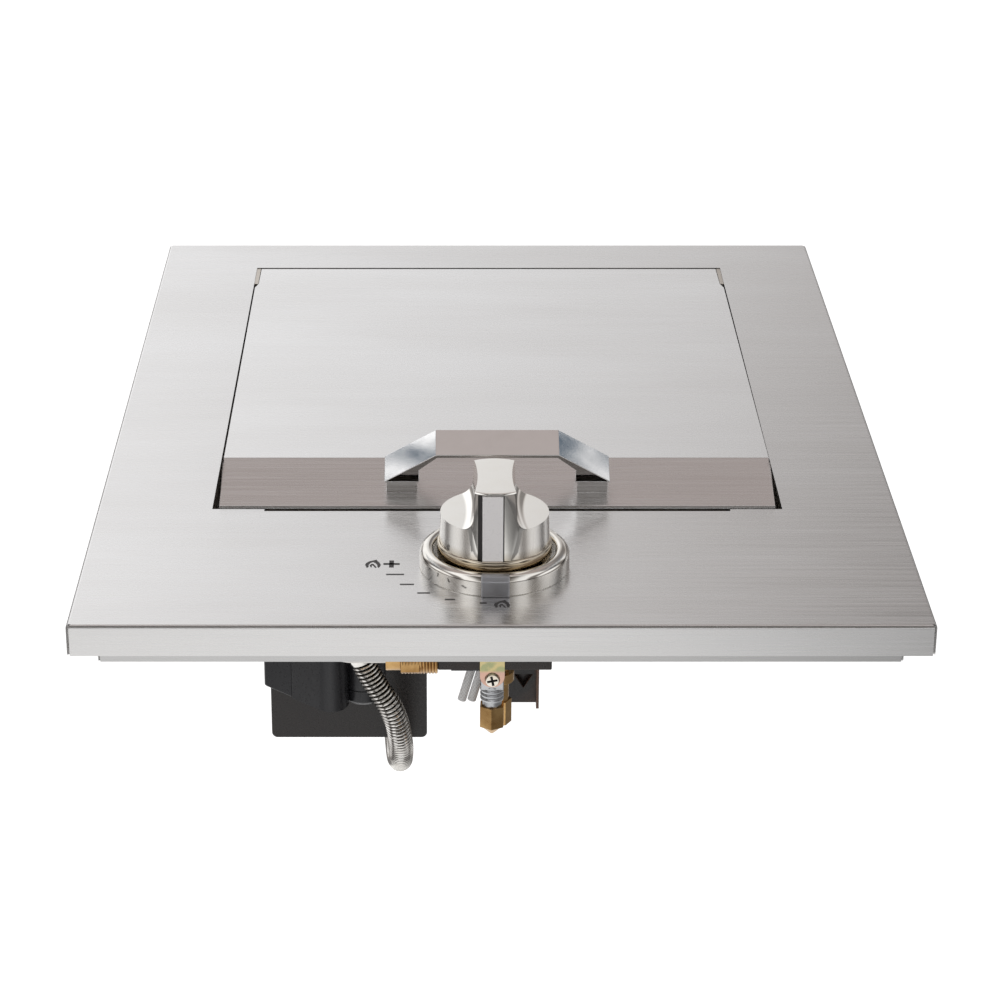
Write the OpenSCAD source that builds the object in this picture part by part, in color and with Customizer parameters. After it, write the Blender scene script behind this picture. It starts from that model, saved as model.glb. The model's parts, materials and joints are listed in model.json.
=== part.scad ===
// Built in gas side burner for an outdoor kitchen. Millimetres, +Z up.
// The origin is the middle of the burner at the height of the worktop: the deck's folded rim rests at
// Z = 0, the locating lips, the burner bowl and the gas fittings hang below it. The front is at -Y.

/* [Deck] */
// Width of the deck, across the front
deck_w = 337; // [300:1:400]
// Depth of the deck, front to back
deck_d = 457; // [440:1:520]
// Thickness of the stainless sheet
sheet_t = 1.2; // [0.8:0.1:1.6]
// Height of the folded flanges
flange_h = 13; // [11:0.5:20]
// Width of the return that rests on the worktop
return_w = 10.5; // [8:0.5:12]
// Depth of the locating lip below the worktop's surface
lip_drop = 7.8; // [5:0.2:14]
// Length of the slanted ends of the locating lip
lip_mitre = 1; // [0.5:0.5:6]
// Open seam between two flanges at a corner
corner_seam = 0.6; // [0.3:0.1:1.5]
// Width of the opening under the lid
opening_w = 240; // [200:1:260]
// Length of the opening, front to back
opening_l = 308.4; // [280:0.2:320]
// Front edge of the deck to the opening
opening_in = 111.3; // [105:0.1:118]
// Width of the finger relief in the opening's front edge
relief_w = 196; // [100:1:200]
// Depth of the finger relief
relief_d = 2.1; // [1:0.1:3]
// Hole for the valve stem
stem_hole_d = 14; // [13:0.5:18]

/* [Lid] */
// Gap at each side of the lid
lid_side_gap = 2.8; // [2.6:0.1:3.5]
// Gap at the front of the lid
lid_front_gap = 1.2; // [0.8:0.1:2]
// Gap at the back of the lid
lid_back_gap = 1; // [0.8:0.1:2]
// Thickness of the lid's sheet
lid_t = 1; // [0.7:0.1:1.2]
// Height of the lid's front ridge above the deck
lid_rise = 9.5; // [6:0.5:14]
// Length of the sloping bevel, front to back
bevel_run = 32; // [26:1:45]
// Height of the bevel's lower edge above the deck
bevel_foot = 0.5; // [0.2:0.1:2]
// Depth of the lid's skirt below the deck's surface
skirt_h = 8; // [7:0.5:9]
// Outer radius of the lid's folded edges
fold_r = 1.5; // [1.2:0.1:2.5]
// Hinge pin behind the lid's back edge, measured forwards
hinge_in = 4.2; // [4:0.1:6]
// Hinge pin below the deck's surface
hinge_drop = 3.2; // [3:0.1:4]
// Diameter of the hinge pins
hinge_pin_d = 2.6; // [2:0.1:2.8]

/* [Handle] */
// Length of the handle
handle_l = 95.4; // [80:1:120]
// Length of the handle's straight bar
handle_bar_l = 51.6; // [40:1:60]
// Height of the handle above the bevel
handle_h = 23; // [20:0.2:28]
// Height of the handle's outer ends
handle_end_h = 8.8; // [8:0.2:12]
// Width of the handle's broad face
handle_w = 14.5; // [10:0.5:18]
// Thickness of the handle's straight bar
handle_t = 3.8; // [3:0.1:5]
// Length of each handle foot
handle_foot_l = 14.7; // [12:0.1:18]
// Height of each handle foot
handle_foot_h = 6; // [4:0.5:7]
// Lower edge of the bevel to the handle, along the bevel
handle_up = 8.8; // [6:0.2:12]

/* [Knob] */
// Diameter of the knob's round body
knob_d = 44.4; // [36:0.2:46]
// Diameter of the ring at the knob's foot
knob_ring_d = 46.4; // [44:0.2:47]
// Height of the knob's top above the deck
knob_top = 39; // [34:0.2:46]
// Height of the shelves beside the grip above the deck
knob_rim = 23.6; // [20:0.2:28]
// Height of the knob's lower edge above the deck
knob_foot = 5.5; // [5.2:0.1:6]
// Top of the ring at the knob's foot above the deck
knob_ring_top = 11.4; // [9:0.2:13]
// Diameter of the knob's top
knob_top_d = 36.8; // [30:0.2:42]
// Width of the grip bar at its waist
grip_w = 13.8; // [11:0.2:16]
// Width of the inlay on the grip's front
pointer_w = 8.2; // [5:0.2:9]
// Knob's axis behind the deck's front edge
knob_in = 56.1; // [53:0.1:58]
// Knob's axis to the left of the middle
knob_left = 2; // [0:0.5:4]
// Outer diameter of the bezel ring
bezel_d = 60.5; // [58:0.5:64]
// Opening of the bezel ring
bezel_bore = 49.6; // [48:0.2:52]
// Height of the bezel ring
bezel_h = 8.5; // [6:0.5:10]
// Width of the block on the bezel's front
window_w = 11.2; // [8:0.2:14]
// Travel of the knob when it is pushed
push_travel = 3; // [2:0.5:3]

/* [Burner] */
// Depth of the bowl below the deck's surface
bowl_h = 68; // [60:1:70]
// Thickness of the bowl's sheet
bowl_t = 1; // [0.8:0.1:1.2]
// Depth of the bowl's ledge below the deck's surface
ledge_h = 16; // [14:0.5:17]
// Width of the bowl's ledge
ledge_w = 12; // [10:0.5:14]
// Width of the bowl's rim under the deck
rim_w = 10; // [8:0.5:12]
// Diameter of the burner's chamber
burner_d = 96; // [80:1:110]
// Outer diameter of the mixing tube
tube_d = 18; // [16:0.5:19]
// Wall of the mixing tube
tube_t = 1.2; // [1:0.1:2]
// Axis of the mixing tube below the deck's surface
tube_drop = 32; // [31:0.5:34]
// Diameter of the grate's long rods
rod_d = 6; // [5:0.5:7]
// Diameter of the grate's frame rods
frame_rod_d = 6.5; // [6:0.5:7]
// Distance between the grate's long rods
rod_pitch = 37; // [30:1:40]

/* [Gas fittings] */
// Side of the square manifold bar
bar_side = 11; // [10:0.5:13]
// Length of the manifold bar
bar_l = 45.6; // [40:0.2:60]
// Manifold bar in front of the knob's axis
bar_ahead = 22.6; // [22:0.2:26]
// Axis of the manifold bar below the deck's surface
bar_drop = 28; // [26:0.5:30]
// Diameter of the brass inlet fitting
fitting_d = 14.8; // [12:0.2:16]
// Width across the flats of the inlet fitting
fitting_af = 17; // [14:0.5:19]
// Diameter of the inlet pipe
pipe_d = 9; // [7:0.5:9.5]
// Outer diameter of the corrugated hose
hose_d = 10.5; // [9:0.5:12]
// Bore of the corrugated hose
hose_bore = 7.4; // [6:0.2:8]
// Number of ribs on the corrugated hose
hose_ribs = 140; // [40:1:180]

/* [Igniter] */
// Width of the black igniter bracket
plate_w = 68; // [60:1:80]
// Lower edge of the igniter bracket below the deck's surface
plate_drop = 112.8; // [105:0.2:125]
// Diameter of the battery cap
cap_d = 19; // [17:0.5:22]
// Bottom of the igniter case below the deck's surface
case_drop = 84.5; // [80:0.5:95]

/* [Hidden] */
$fn = 48;
over = 1;
seat_gap = 0.3;
run_gap = 0.05;
fine_fn = 96;

// Places that several pieces share, with Z measured from the deck's surface
front_y = -deck_d / 2;
open_y0 = front_y + opening_in;
open_y1 = open_y0 + opening_l;
lid_w = opening_w - 2 * lid_side_gap;
lid_y0 = open_y0 + lid_front_gap;
lid_y1 = open_y1 - lid_back_gap;
ridge_y = lid_y0 + bevel_run;
hinge_y = lid_y1 - hinge_in;
knob_x = -knob_left;
knob_y = front_y + knob_in;
bar_y = knob_y - bar_ahead;
bar_x1 = knob_x + bar_l / 2;
bar_x0 = knob_x - bar_l / 2;
bar_front = bar_y - bar_side / 2;
bar_back = bar_y + bar_side / 2;
bar_low = -bar_drop - bar_side / 2;
bowl_y0 = open_y0 - relief_d - seat_gap;
bowl_y1 = open_y1 + seat_gap;
bowl_mid = (bowl_y0 + bowl_y1) / 2;
bowl_x = opening_w / 2;
rim_z = -sheet_t;
bowl_wall_y = bowl_y0 + ledge_w - bowl_t;
burner_y = (lid_y0 + lid_y1) / 2;
tube_z = -tube_drop;
bevel_angle = atan((lid_rise - bevel_foot) / bevel_run);

function arc(cx, cy, r, a0, a1, n) = [for (i = [0 : n]) let (a = a0 + (a1 - a0) * i / n)
    [cx + r * cos(a), cy + r * sin(a)]];

module at_deck() translate([0, 0, flange_h]) children();
module along_x(x, y, z) translate([x, y, z]) rotate([0, 90, 0]) children();
module along_y(x, y, z) translate([x, y, z]) rotate([-90, 0, 0]) children();
module side_profile(w) rotate([90, 0, 90]) linear_extrude(w, center = true) children();
module centred_box(x, y, z, w, d, h) translate([x - w / 2, y - d / 2, z]) cube([w, d, h]);
module hexagon(af, h) cylinder(d = af / cos(30), h = h, $fn = 6);

// Deck: the flat top with its opening, four flanges, their returns and the locating lips
fold_ease = 0.2;
flange_r = sheet_t + fold_ease;
valve_hole_d = 4.4;
valve_hole_off = 13;
lip_x = deck_w / 2 - return_w;
lip_y = deck_d / 2 - return_w;

module flange_profile() {
    polygon(concat(
        arc(-flange_r, flange_h - flange_r, flange_r, 90, 0, 4),
        [[0, 0], [-return_w, 0], [-return_w, -lip_drop], [-return_w - sheet_t, -lip_drop],
         [-return_w - sheet_t, sheet_t], [-sheet_t, sheet_t], [-sheet_t, flange_h - flange_r],
         [-flange_r, flange_h - sheet_t]]));
}

module lip_cut(half, l) {
    for (s = [-1, 1]) scale([s, 1, 1])
        translate([l / 2 - return_w, half - return_w - 2 * sheet_t, 0]) rotate([-90, 0, 0])
        linear_extrude(3 * sheet_t) polygon([[over, -over], [over, lip_drop + over],
            [-lip_mitre, lip_drop + over], [-lip_mitre, lip_drop], [-lip_mitre / 2, -over / 2]]);
}

module deck_side(half, l) {
    difference() {
        intersection() {
            translate([0, half, 0]) rotate([90, 0, 90]) linear_extrude(l, center = true) flange_profile();
            translate([0, 0, -lip_drop - over]) linear_extrude(flange_h + lip_drop + 2 * over)
                polygon([[-l / 2 + corner_seam, half + over], [l / 2 - corner_seam, half + over],
                    [l / 2 - corner_seam - sheet_t, half - sheet_t],
                    [l / 2 - 4 * return_w - corner_seam, half - 4 * return_w],
                    [-l / 2 + 4 * return_w + corner_seam, half - 4 * return_w],
                    [-l / 2 + corner_seam + sheet_t, half - sheet_t]]);
        }
        lip_cut(half, l);
    }
}

module top_plate() {
    color("gainsboro") {
        for (a = [0, 180]) rotate(a) deck_side(deck_d / 2, deck_w);
        for (a = [90, 270]) rotate(a) deck_side(deck_w / 2, deck_d);
        at_deck() difference() {
            translate([-deck_w / 2 + flange_r, -deck_d / 2 + flange_r, -sheet_t])
                cube([deck_w - 2 * flange_r, deck_d - 2 * flange_r, sheet_t]);
            translate([-opening_w / 2, open_y0, -sheet_t - over])
                cube([opening_w, opening_l, sheet_t + 2 * over]);
            translate([-relief_w / 2, open_y0 - relief_d, -sheet_t - over])
                cube([relief_w, relief_d + over, sheet_t + 2 * over]);
            translate([knob_x, knob_y, -sheet_t - over]) cylinder(d = stem_hole_d, h = sheet_t + 2 * over);
            for (s = [-1, 1]) translate([knob_x + s * valve_hole_off, knob_y, -sheet_t - over])
                cylinder(d = valve_hole_d, h = sheet_t + 2 * over);
        }
    }
}

// Lid: one folded sheet, wedge-shaped from the side, open below
handle_x = handle_l / 2 - handle_foot_l / 2;
handle_hole_d = 4.4;
fold_z = bevel_foot + fold_r * tan(bevel_angle) - fold_r / cos(bevel_angle);

module lid_outer() {
    polygon(concat(
        arc(lid_y1 - fold_r, -fold_r, fold_r, 0, 90, 5),
        [[ridge_y, lid_rise]],
        arc(lid_y0 + fold_r, fold_z, fold_r, 90 + bevel_angle, 180, 4),
        [[lid_y0, -skirt_h], [lid_y1, -skirt_h]]));
}

module lid_inner() {
    polygon(concat(
        arc(lid_y1 - fold_r, -fold_r, fold_r - lid_t, 0, 90, 3),
        [[ridge_y, lid_rise - lid_t / cos(bevel_angle)]],
        arc(lid_y0 + fold_r, fold_z, fold_r - lid_t, 90 + bevel_angle, 180, 3),
        [[lid_y0 + lid_t, -skirt_h - over], [lid_y1 - lid_t, -skirt_h - over]]));
}

module on_bevel() at_deck() translate([0, lid_y0, bevel_foot]) rotate([bevel_angle, 0, 0]) children();

module lid() {
    color("lightgray") difference() {
        at_deck() side_profile(lid_w) lid_outer();
        at_deck() side_profile(lid_w - 2 * lid_t) lid_inner();
        at_deck() along_x(-lid_w / 2 - over, hinge_y, -hinge_drop)
            cylinder(d = hinge_pin_d + 2 * run_gap, h = lid_w + 2 * over);
        for (s = [-1, 1]) on_bevel() translate([s * handle_x, handle_up + handle_w / 2, -3 * lid_t])
            cylinder(d = handle_hole_d, h = 5 * lid_t);
    }
}

pin_head_share = 1.5;

module hinge_pin(s) {
    pin_head_d = hinge_pin_d * pin_head_share;
    pin_head_t = hinge_pin_d / 2;
    color("silver") at_deck() scale([s, 1, 1]) {
        along_x(lid_w / 2 - lid_t - seat_gap, hinge_y, -hinge_drop)
            cylinder(d = hinge_pin_d, h = lid_side_gap + lid_t + seat_gap);
        along_x(lid_w / 2 - lid_t - seat_gap - pin_head_t, hinge_y, -hinge_drop)
            cylinder(d = pin_head_d, h = pin_head_t);
    }
}
module hinge_pin_left() hinge_pin(-1);
module hinge_pin_right() hinge_pin(1);

// Hinge brackets fill the gap beside the lid at its back corners
hinge_bracket_l = 24;
hinge_bracket_h = 14;
hinge_bracket_t = 2;

module hinge_bracket(s) {
    color("silver") at_deck() scale([s, 1, 1]) difference() {
        translate([bowl_x - hinge_bracket_t, open_y1 - hinge_bracket_l, -hinge_bracket_h])
            cube([hinge_bracket_t, hinge_bracket_l, hinge_bracket_h - seat_gap]);
        along_x(bowl_x - hinge_bracket_t - over, hinge_y, -hinge_drop)
            cylinder(d = hinge_pin_d + run_gap, h = hinge_bracket_t + 2 * over);
    }
}
module hinge_bracket_left() hinge_bracket(-1);
module hinge_bracket_right() hinge_bracket(1);

// Bumpers that the lid's front skirt comes down on
bumper_l = 14;
bumper_x = 60;
module lid_bumpers() {
    color("dimgray") at_deck() for (s = [-1, 1])
        translate([s * bumper_x - bumper_l / 2, bowl_y0, -ledge_h])
        cube([bumper_l, lid_y0 + lid_t - bowl_y0, ledge_h - skirt_h - seat_gap]);
}

// Handle: an arch of flat faces, standing square on the bevel
handle_slope_inset = 1;
handle_knee_share = 0.27;
handle_inner_l = handle_l - 2 * handle_foot_l;
handle_inner_bar_l = handle_bar_l - handle_slope_inset;
foot_inset = 0.8;

module handle_profile() {
    h_in = handle_h - handle_t;
    knee = handle_end_h + (handle_h - handle_end_h) * handle_knee_share;
    polygon([
        [-handle_l / 2, handle_foot_h], [-handle_l / 2, handle_end_h], [-handle_bar_l / 2, handle_h],
        [handle_bar_l / 2, handle_h], [handle_l / 2, handle_end_h], [handle_l / 2, handle_foot_h],
        [handle_inner_l / 2, handle_foot_h], [handle_inner_l / 2, knee],
        [handle_inner_bar_l / 2, h_in], [-handle_inner_bar_l / 2, h_in],
        [-handle_inner_l / 2, knee], [-handle_inner_l / 2, handle_foot_h]]);
}

module handle() {
    tap_d = handle_hole_d - 1;
    tap_h = handle_foot_h + over;
    color("silver") on_bevel() difference() {
        union() {
            translate([0, handle_up + handle_w, 0]) rotate([90, 0, 0])
                linear_extrude(handle_w) handle_profile();
            for (s = [-1, 1]) centred_box(s * handle_x, handle_up + handle_w / 2, 0,
                handle_foot_l - 2 * foot_inset, handle_w - 2 * foot_inset, handle_foot_h);
        }
        for (s = [-1, 1]) translate([s * handle_x, handle_up + handle_w / 2, -over])
            cylinder(d = tap_d, h = tap_h + over);
    }
}

module handle_screws() {
    head_d = handle_hole_d * 1.8;
    head_t = handle_hole_d / 2;
    color("gray") on_bevel() for (s = [-1, 1])
        translate([s * handle_x, handle_up + handle_w / 2, -lid_t]) {
            translate([0, 0, -head_t]) cylinder(d = head_d, h = head_t);
            cylinder(d = handle_hole_d - 1, h = handle_foot_h);
        }
}

// Knob: a turned body on a foot ring, with two shelves scooped out beside the grip bar. Its front is cut
// flat, and the pale inlay sits in a wider groove there
knob_taper = 0.8;
knob_edge = 0.8;
scoop_r = 5;
waist_r = 102;
hub_d = 12;
stem_d = 6;
cavity_share = 0.5;
face_low = knob_ring_d / 2 - 1.8;
face_high = knob_top_d / 2 - 0.5;
inlay_left = 1;
inlay_depth = 1.6;
inlay_proud = 0.3;
inlay_drop = 1.4;
groove_left = 1.8;
groove_right = 0.5;

module knob_body() {
    ring_r = knob_ring_d / 2;
    rim_r = (knob_d - knob_taper) / 2;
    top_r = knob_top_d / 2;
    rotate_extrude($fn = fine_fn) polygon([[0, knob_foot], [ring_r - knob_edge / 2, knob_foot],
        [ring_r, knob_foot + knob_edge / 2], [ring_r, knob_ring_top - knob_edge],
        [ring_r - knob_edge, knob_ring_top], [knob_d / 2, knob_ring_top], [rim_r, knob_rim],
        [top_r, knob_top - knob_edge / 2], [top_r - knob_edge / 2, knob_top], [0, knob_top]]);
}

module scoop_cut(s) {
    scale([s, 1, 1]) intersection() {
        translate([grip_w / 2 + waist_r, 0, 0]) rotate_extrude($fn = fine_fn * 2)
            polygon(concat(arc(waist_r - scoop_r, knob_rim + scoop_r, scoop_r, 0, -90, 6),
                [[waist_r - knob_d, knob_rim], [waist_r - knob_d, knob_top + over],
                 [waist_r, knob_top + over]]));
        centred_box(knob_d / 2, 0, knob_rim - over, knob_d, knob_d + 2 * over, knob_top);
    }
}

// A slab parallel to the knob's flat front, from out to in measured from that face
module front_slab(w, out, in, low, high) {
    slope = (face_low - face_high) / (knob_top - knob_ring_top);
    y_low = -face_low + slope * (low - knob_ring_top);
    y_high = -face_low + slope * (high - knob_ring_top);
    side_profile(w) polygon([[y_low - out, low], [y_low + in, low], [y_high + in, high], [y_high - out, high]]);
}

module knob() {
    cavity_d = knob_d - 8;
    cavity_h = (knob_rim - knob_foot) * cavity_share;
    bore_h = knob_rim + 4;
    groove_w = pointer_w + groove_left + groove_right;
    groove_x = -inlay_left - (groove_left - groove_right) / 2;
    color("silver") at_deck() translate([knob_x, knob_y, 0]) difference() {
        knob_body();
        scoop_cut(1);
        scoop_cut(-1);
        front_slab(knob_d, knob_d / 4, 0, knob_ring_top, knob_top + over);
        translate([groove_x, 0, 0])
            front_slab(groove_w, over, inlay_depth, knob_ring_top, knob_top - inlay_drop + groove_right);
        translate([0, 0, knob_foot - over]) difference() {
            cylinder(d = cavity_d, h = cavity_h + over);
            cylinder(d = hub_d, h = cavity_h + over);
        }
        translate([0, 0, knob_foot - over]) cylinder(d = stem_d + 2 * run_gap, h = bore_h - knob_foot + over);
    }
}

module knob_pointer() {
    color("whitesmoke") at_deck() translate([knob_x - inlay_left, knob_y, 0])
        front_slab(pointer_w, inlay_proud, inlay_depth, knob_ring_top, knob_top - inlay_drop);
}

// Valve stem, its washer and return spring
washer_z = -3.5;
washer_t = 1;
collar_d = 9;
collar_h = 1.5;
bonnet_z = -12;
bonnet_t = 3;
stem_low = -30;
spring_wire = 0.8;
spring_turns = 4.5;
spring_r = 5;

module valve_stem() {
    color("goldenrod") at_deck() translate([knob_x, knob_y, 0]) {
        translate([0, 0, stem_low]) cylinder(d = stem_d, h = knob_rim - stem_low);
        translate([0, 0, washer_z + washer_t]) cylinder(d = collar_d, h = collar_h);
    }
}

module stem_washer() {
    color("silver") at_deck() translate([knob_x, knob_y, washer_z]) difference() {
        cylinder(d = stem_hole_d - 1.6, h = washer_t);
        translate([0, 0, -over]) cylinder(d = stem_d + 2 * run_gap, h = washer_t + 2 * over);
    }
}

function spring_ring(i, n, low, high) = let (
    a = 360 * spring_turns * i / n,
    z = low + (high - low) * i / n)
    [for (k = [0 : 5]) let (b = 60 * k)
        [(spring_r + spring_wire / 2 * cos(b)) * cos(a), (spring_r + spring_wire / 2 * cos(b)) * sin(a),
         z + spring_wire / 2 * sin(b)]];

module stem_spring() {
    steps = 72;
    low = bonnet_z + spring_wire / 2;
    high = washer_z - spring_wire / 2;
    points = [for (i = [0 : steps]) each spring_ring(i, steps, low, high)];
    sides = [for (i = [0 : steps - 1]) for (k = [0 : 5]) let (a = i * 6 + k, b = i * 6 + (k + 1) % 6)
        each [[a, a + 6, b], [b, a + 6, b + 6]]];
    first = [for (k = [1 : 4]) [0, k, k + 1]];
    last = [for (k = [1 : 4]) [steps * 6, steps * 6 + k + 1, steps * 6 + k]];
    color("gray") at_deck() translate([knob_x, knob_y, 0])
        polyhedron(points, concat(sides, first, last));
}

// Bezel ring, with the block set into its front
module bezel_profile() {
    edge = bezel_h * 0.4;
    polygon(concat([[bezel_bore / 2, 0], [bezel_d / 2, 0], [bezel_d / 2, bezel_h * 0.25]],
        arc(bezel_d / 2 - edge, bezel_h - edge, edge, 10, 90, 5),
        [[bezel_bore / 2 + edge / 2, bezel_h], [bezel_bore / 2, bezel_h - edge / 2]]));
}

module bezel_ring() rotate_extrude($fn = fine_fn) bezel_profile();

window_t = 4.4;
window_proud = 0.9;

module window_cut() {
    depth = 2 * (window_t - window_proud);
    centred_box(0, -bezel_d / 2, -over, window_w, depth, bezel_h + 2 * over);
}

module bezel() {
    color("silver") at_deck() translate([knob_x, knob_y, 0]) difference() {
        bezel_ring();
        window_cut();
    }
}

module bezel_window() {
    chamfer = 0.8;
    y0 = -bezel_d / 2 - window_proud;
    y1 = -bezel_d / 2 + window_t - window_proud;
    color("lightgray") at_deck() translate([knob_x, knob_y, 0]) side_profile(window_w)
        polygon([[y0, 0], [y1, 0], [y1, bezel_h], [y0 + 2 * chamfer, bezel_h], [y0, bezel_h - 2 * chamfer]]);
}

// Valve: tapered plug body, bonnet with two posts to the deck, front block and outlet boss
post_d = 8;
barrel_d = 18;
barrel_low = -39;
block_w = 16;
block_low = -34;
block_high = -20;
outlet_d = 13;
outlet_y = 18.4;

module valve_body() {
    color("darkkhaki") at_deck() difference() {
        union() {
            translate([knob_x, knob_y, barrel_low])
                cylinder(d = barrel_d, h = bonnet_z - bonnet_t - barrel_low);
            translate([knob_x, knob_y, bonnet_z - bonnet_t]) {
                cylinder(d = barrel_d + 2, h = bonnet_t);
                centred_box(0, 0, 0, 2 * valve_hole_off, post_d, bonnet_t);
            }
            for (s = [-1, 1]) translate([knob_x + s * valve_hole_off, knob_y, bonnet_z - bonnet_t])
                cylinder(d = post_d, h = rim_z - bonnet_z + bonnet_t);
            centred_box(knob_x, (bar_back + knob_y) / 2, block_low,
                block_w, knob_y - bar_back, block_high - block_low);
            along_y(knob_x, knob_y, tube_z) cylinder(d = outlet_d, h = outlet_y);
        }
        translate([knob_x, knob_y, stem_low - push_travel - over])
            cylinder(d = stem_d + 2 * run_gap, h = -stem_low + push_travel);
        for (s = [-1, 1]) translate([knob_x + s * valve_hole_off, knob_y, bonnet_z])
            cylinder(d = valve_hole_d - 1, h = -bonnet_z);
    }
}

module valve_screws() {
    head_d = valve_hole_d * 1.7;
    head_t = 1.8;
    color("silver") at_deck() for (s = [-1, 1]) translate([knob_x + s * valve_hole_off, knob_y, 0]) {
        cylinder(d1 = head_d, d2 = head_d * 0.8, h = head_t);
        translate([0, 0, bonnet_z + over]) cylinder(d = valve_hole_d - 1, h = -bonnet_z - over);
    }
}

jet_hex_l = 7;
jet_tip_l = 3;
module gas_jet() {
    color("goldenrod") at_deck() along_y(knob_x, knob_y + outlet_y, tube_z) difference() {
        union() {
            hexagon(outlet_d - 3, jet_hex_l);
            translate([0, 0, jet_hex_l]) cylinder(d1 = outlet_d / 2, d2 = outlet_d / 3, h = jet_tip_l);
        }
        translate([0, 0, -over]) cylinder(d = outlet_d / 10, h = jet_hex_l + jet_tip_l + 2 * over);
    }
}

// Manifold bar and the brass chain on its left end
collar_l = 4.2;
neck_l = 3;
hex_l = 7.6;
nut_l = 6;

module manifold_bar() {
    color("dimgray") at_deck() translate([bar_x0, bar_y - bar_side / 2, bar_low])
        cube([bar_l, bar_side, bar_side]);
}

module inlet_fitting() {
    color("goldenrod") at_deck() scale([-1, 1, 1]) difference() {
        union() {
            along_x(-bar_x0, bar_y, -bar_drop) cylinder(d = fitting_d, h = collar_l);
            along_x(-bar_x0 + collar_l, bar_y, -bar_drop) cylinder(d = fitting_d - 2, h = neck_l);
            along_x(-bar_x0 + collar_l + neck_l, bar_y, -bar_drop) hexagon(fitting_af, hex_l);
        }
        along_x(-bar_x0 + collar_l, bar_y, -bar_drop) cylinder(d = pipe_d * 0.7, h = hex_l + neck_l + over);
    }
}

chain_l = collar_l + neck_l + hex_l;
module flare_nut() {
    color("goldenrod") at_deck() scale([-1, 1, 1]) difference() {
        along_x(-bar_x0 + chain_l, bar_y, -bar_drop) cylinder(d = fitting_d, h = nut_l);
        along_x(-bar_x0 + chain_l - over, bar_y, -bar_drop)
            cylinder(d = pipe_d + run_gap, h = nut_l + 2 * over);
    }
}

// Route of the hose: X from the middle, Y from the deck's front edge, Z from its surface
hose_route = [
    [-58.5, 76.5, -49], [-56.4, 76.5, -53.8], [-54.3, 76.5, -58.6], [-51.8, 76.5, -63.5],
    [-49, 76.6, -68.4], [-46.3, 77, -73.3], [-44.2, 77.9, -78.5], [-42.6, 79.5, -84],
    [-41.6, 81.7, -90], [-41, 84.7, -96], [-40.8, 88.7, -102], [-41, 93.8, -108],
    [-41.3, 100, -113.2], [-41.8, 107.3, -117.6], [-42.4, 115.5, -121], [-43, 124.5, -123.4],
    [-43.6, 134.5, -124.6], [-44.5, 148.5, -125], [-45.4, 163.5, -125], [-46.3, 178.5, -125.1],
    [-47.2, 193.5, -125.4], [-48, 208.5, -126], [-48.8, 223.5, -127], [-49.4, 238.5, -128.4],
    [-49.8, 253.5, -130.2], [-50, 268.5, -132.3], [-50, 281.5, -134.3], [-50, 294.5, -136.3]
];
bend_r = 9;
drop_r = 11;
lean = atan((hose_route[1][0] - hose_route[0][0]) / (hose_route[0][2] - hose_route[1][2]));
hose_nut_l = 10;
sleeve = 8;
joint_wall = 1;
pipe_end_l = 11.9;
elbow_x = hose_route[0][0] - (drop_r + pipe_end_l) * sin(lean);
elbow_y = front_y + hose_route[0][1] - drop_r;

module pipe_bend(r, a) rotate_extrude(angle = a) translate([r, 0]) circle(d = pipe_d);

module inlet_pipe() {
    straight = elbow_y - bar_y - bend_r;
    color("silver") at_deck() {
        along_x(elbow_x + bend_r, bar_y, -bar_drop)
            cylinder(d = pipe_d, h = bar_x0 - chain_l - elbow_x - bend_r);
        translate([elbow_x + bend_r, bar_y + bend_r, -bar_drop]) rotate(180) pipe_bend(bend_r, 90);
        along_y(elbow_x, bar_y + bend_r, -bar_drop) cylinder(d = pipe_d, h = straight / 2);
        along_y(elbow_x, elbow_y - (straight + sleeve) / 2, -bar_drop)
            cylinder(d = pipe_d + joint_wall, h = sleeve);
        translate([elbow_x, elbow_y, -bar_drop]) rotate([0, -lean, 0]) {
            along_y(0, -straight / 2, 0) cylinder(d = pipe_d, h = straight / 2);
            translate([0, 0, -drop_r]) rotate([0, -90, 0]) pipe_bend(drop_r, 90);
            translate([0, drop_r, -drop_r - pipe_end_l]) cylinder(d = pipe_d, h = pipe_end_l);
        }
    }
}

module at_front() at_deck() translate([0, front_y, 0]) children();
module at_hose_start() at_front() translate(hose_route[0]) rotate([0, -lean, 0]) children();

module hose_nut() {
    color("goldenrod") at_hose_start() difference() {
        hexagon(fitting_af - 2, hose_nut_l);
        translate([0, 0, -over]) cylinder(d = pipe_d + run_gap, h = hose_nut_l + 2 * over);
    }
}

// Corrugated hose: rings of eight points swept along a smooth curve through the route
function seg_len(r, i) = norm(r[i + 1] - r[i]);
function run_len(r, i) = i == 0 ? 0 : run_len(r, i - 1) + seg_len(r, i - 1);
route_runs = [for (i = [0 : len(hose_route) - 1]) run_len(hose_route, i)];
route_l = route_runs[len(hose_route) - 1];
function seg_at(s, i = 0) = i >= len(hose_route) - 2 || s <= route_runs[i + 1] ? i : seg_at(s, i + 1);
function route_dir(i) = let (
    last = len(hose_route) - 1,
    d = i == 0 ? hose_route[1] - hose_route[0]
        : i == last ? hose_route[last] - hose_route[last - 1]
        : hose_route[i + 1] - hose_route[i - 1])
    d / norm(d);
function route_point(s) = let (
    i = seg_at(s), l = seg_len(hose_route, i), t = (s - route_runs[i]) / l,
    a = hose_route[i], b = hose_route[i + 1], u = route_dir(i) * l, v = route_dir(i + 1) * l)
    (2 * t * t * t - 3 * t * t + 1) * a + (t * t * t - 2 * t * t + t) * u
    + (3 * t * t - 2 * t * t * t) * b + (t * t * t - t * t) * v;
function route_tangent(s) = let (
    e = hose_d / 20, a = route_point(max(0, s - e)), b = route_point(min(route_l, s + e)))
    (b - a) / norm(b - a);
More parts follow.
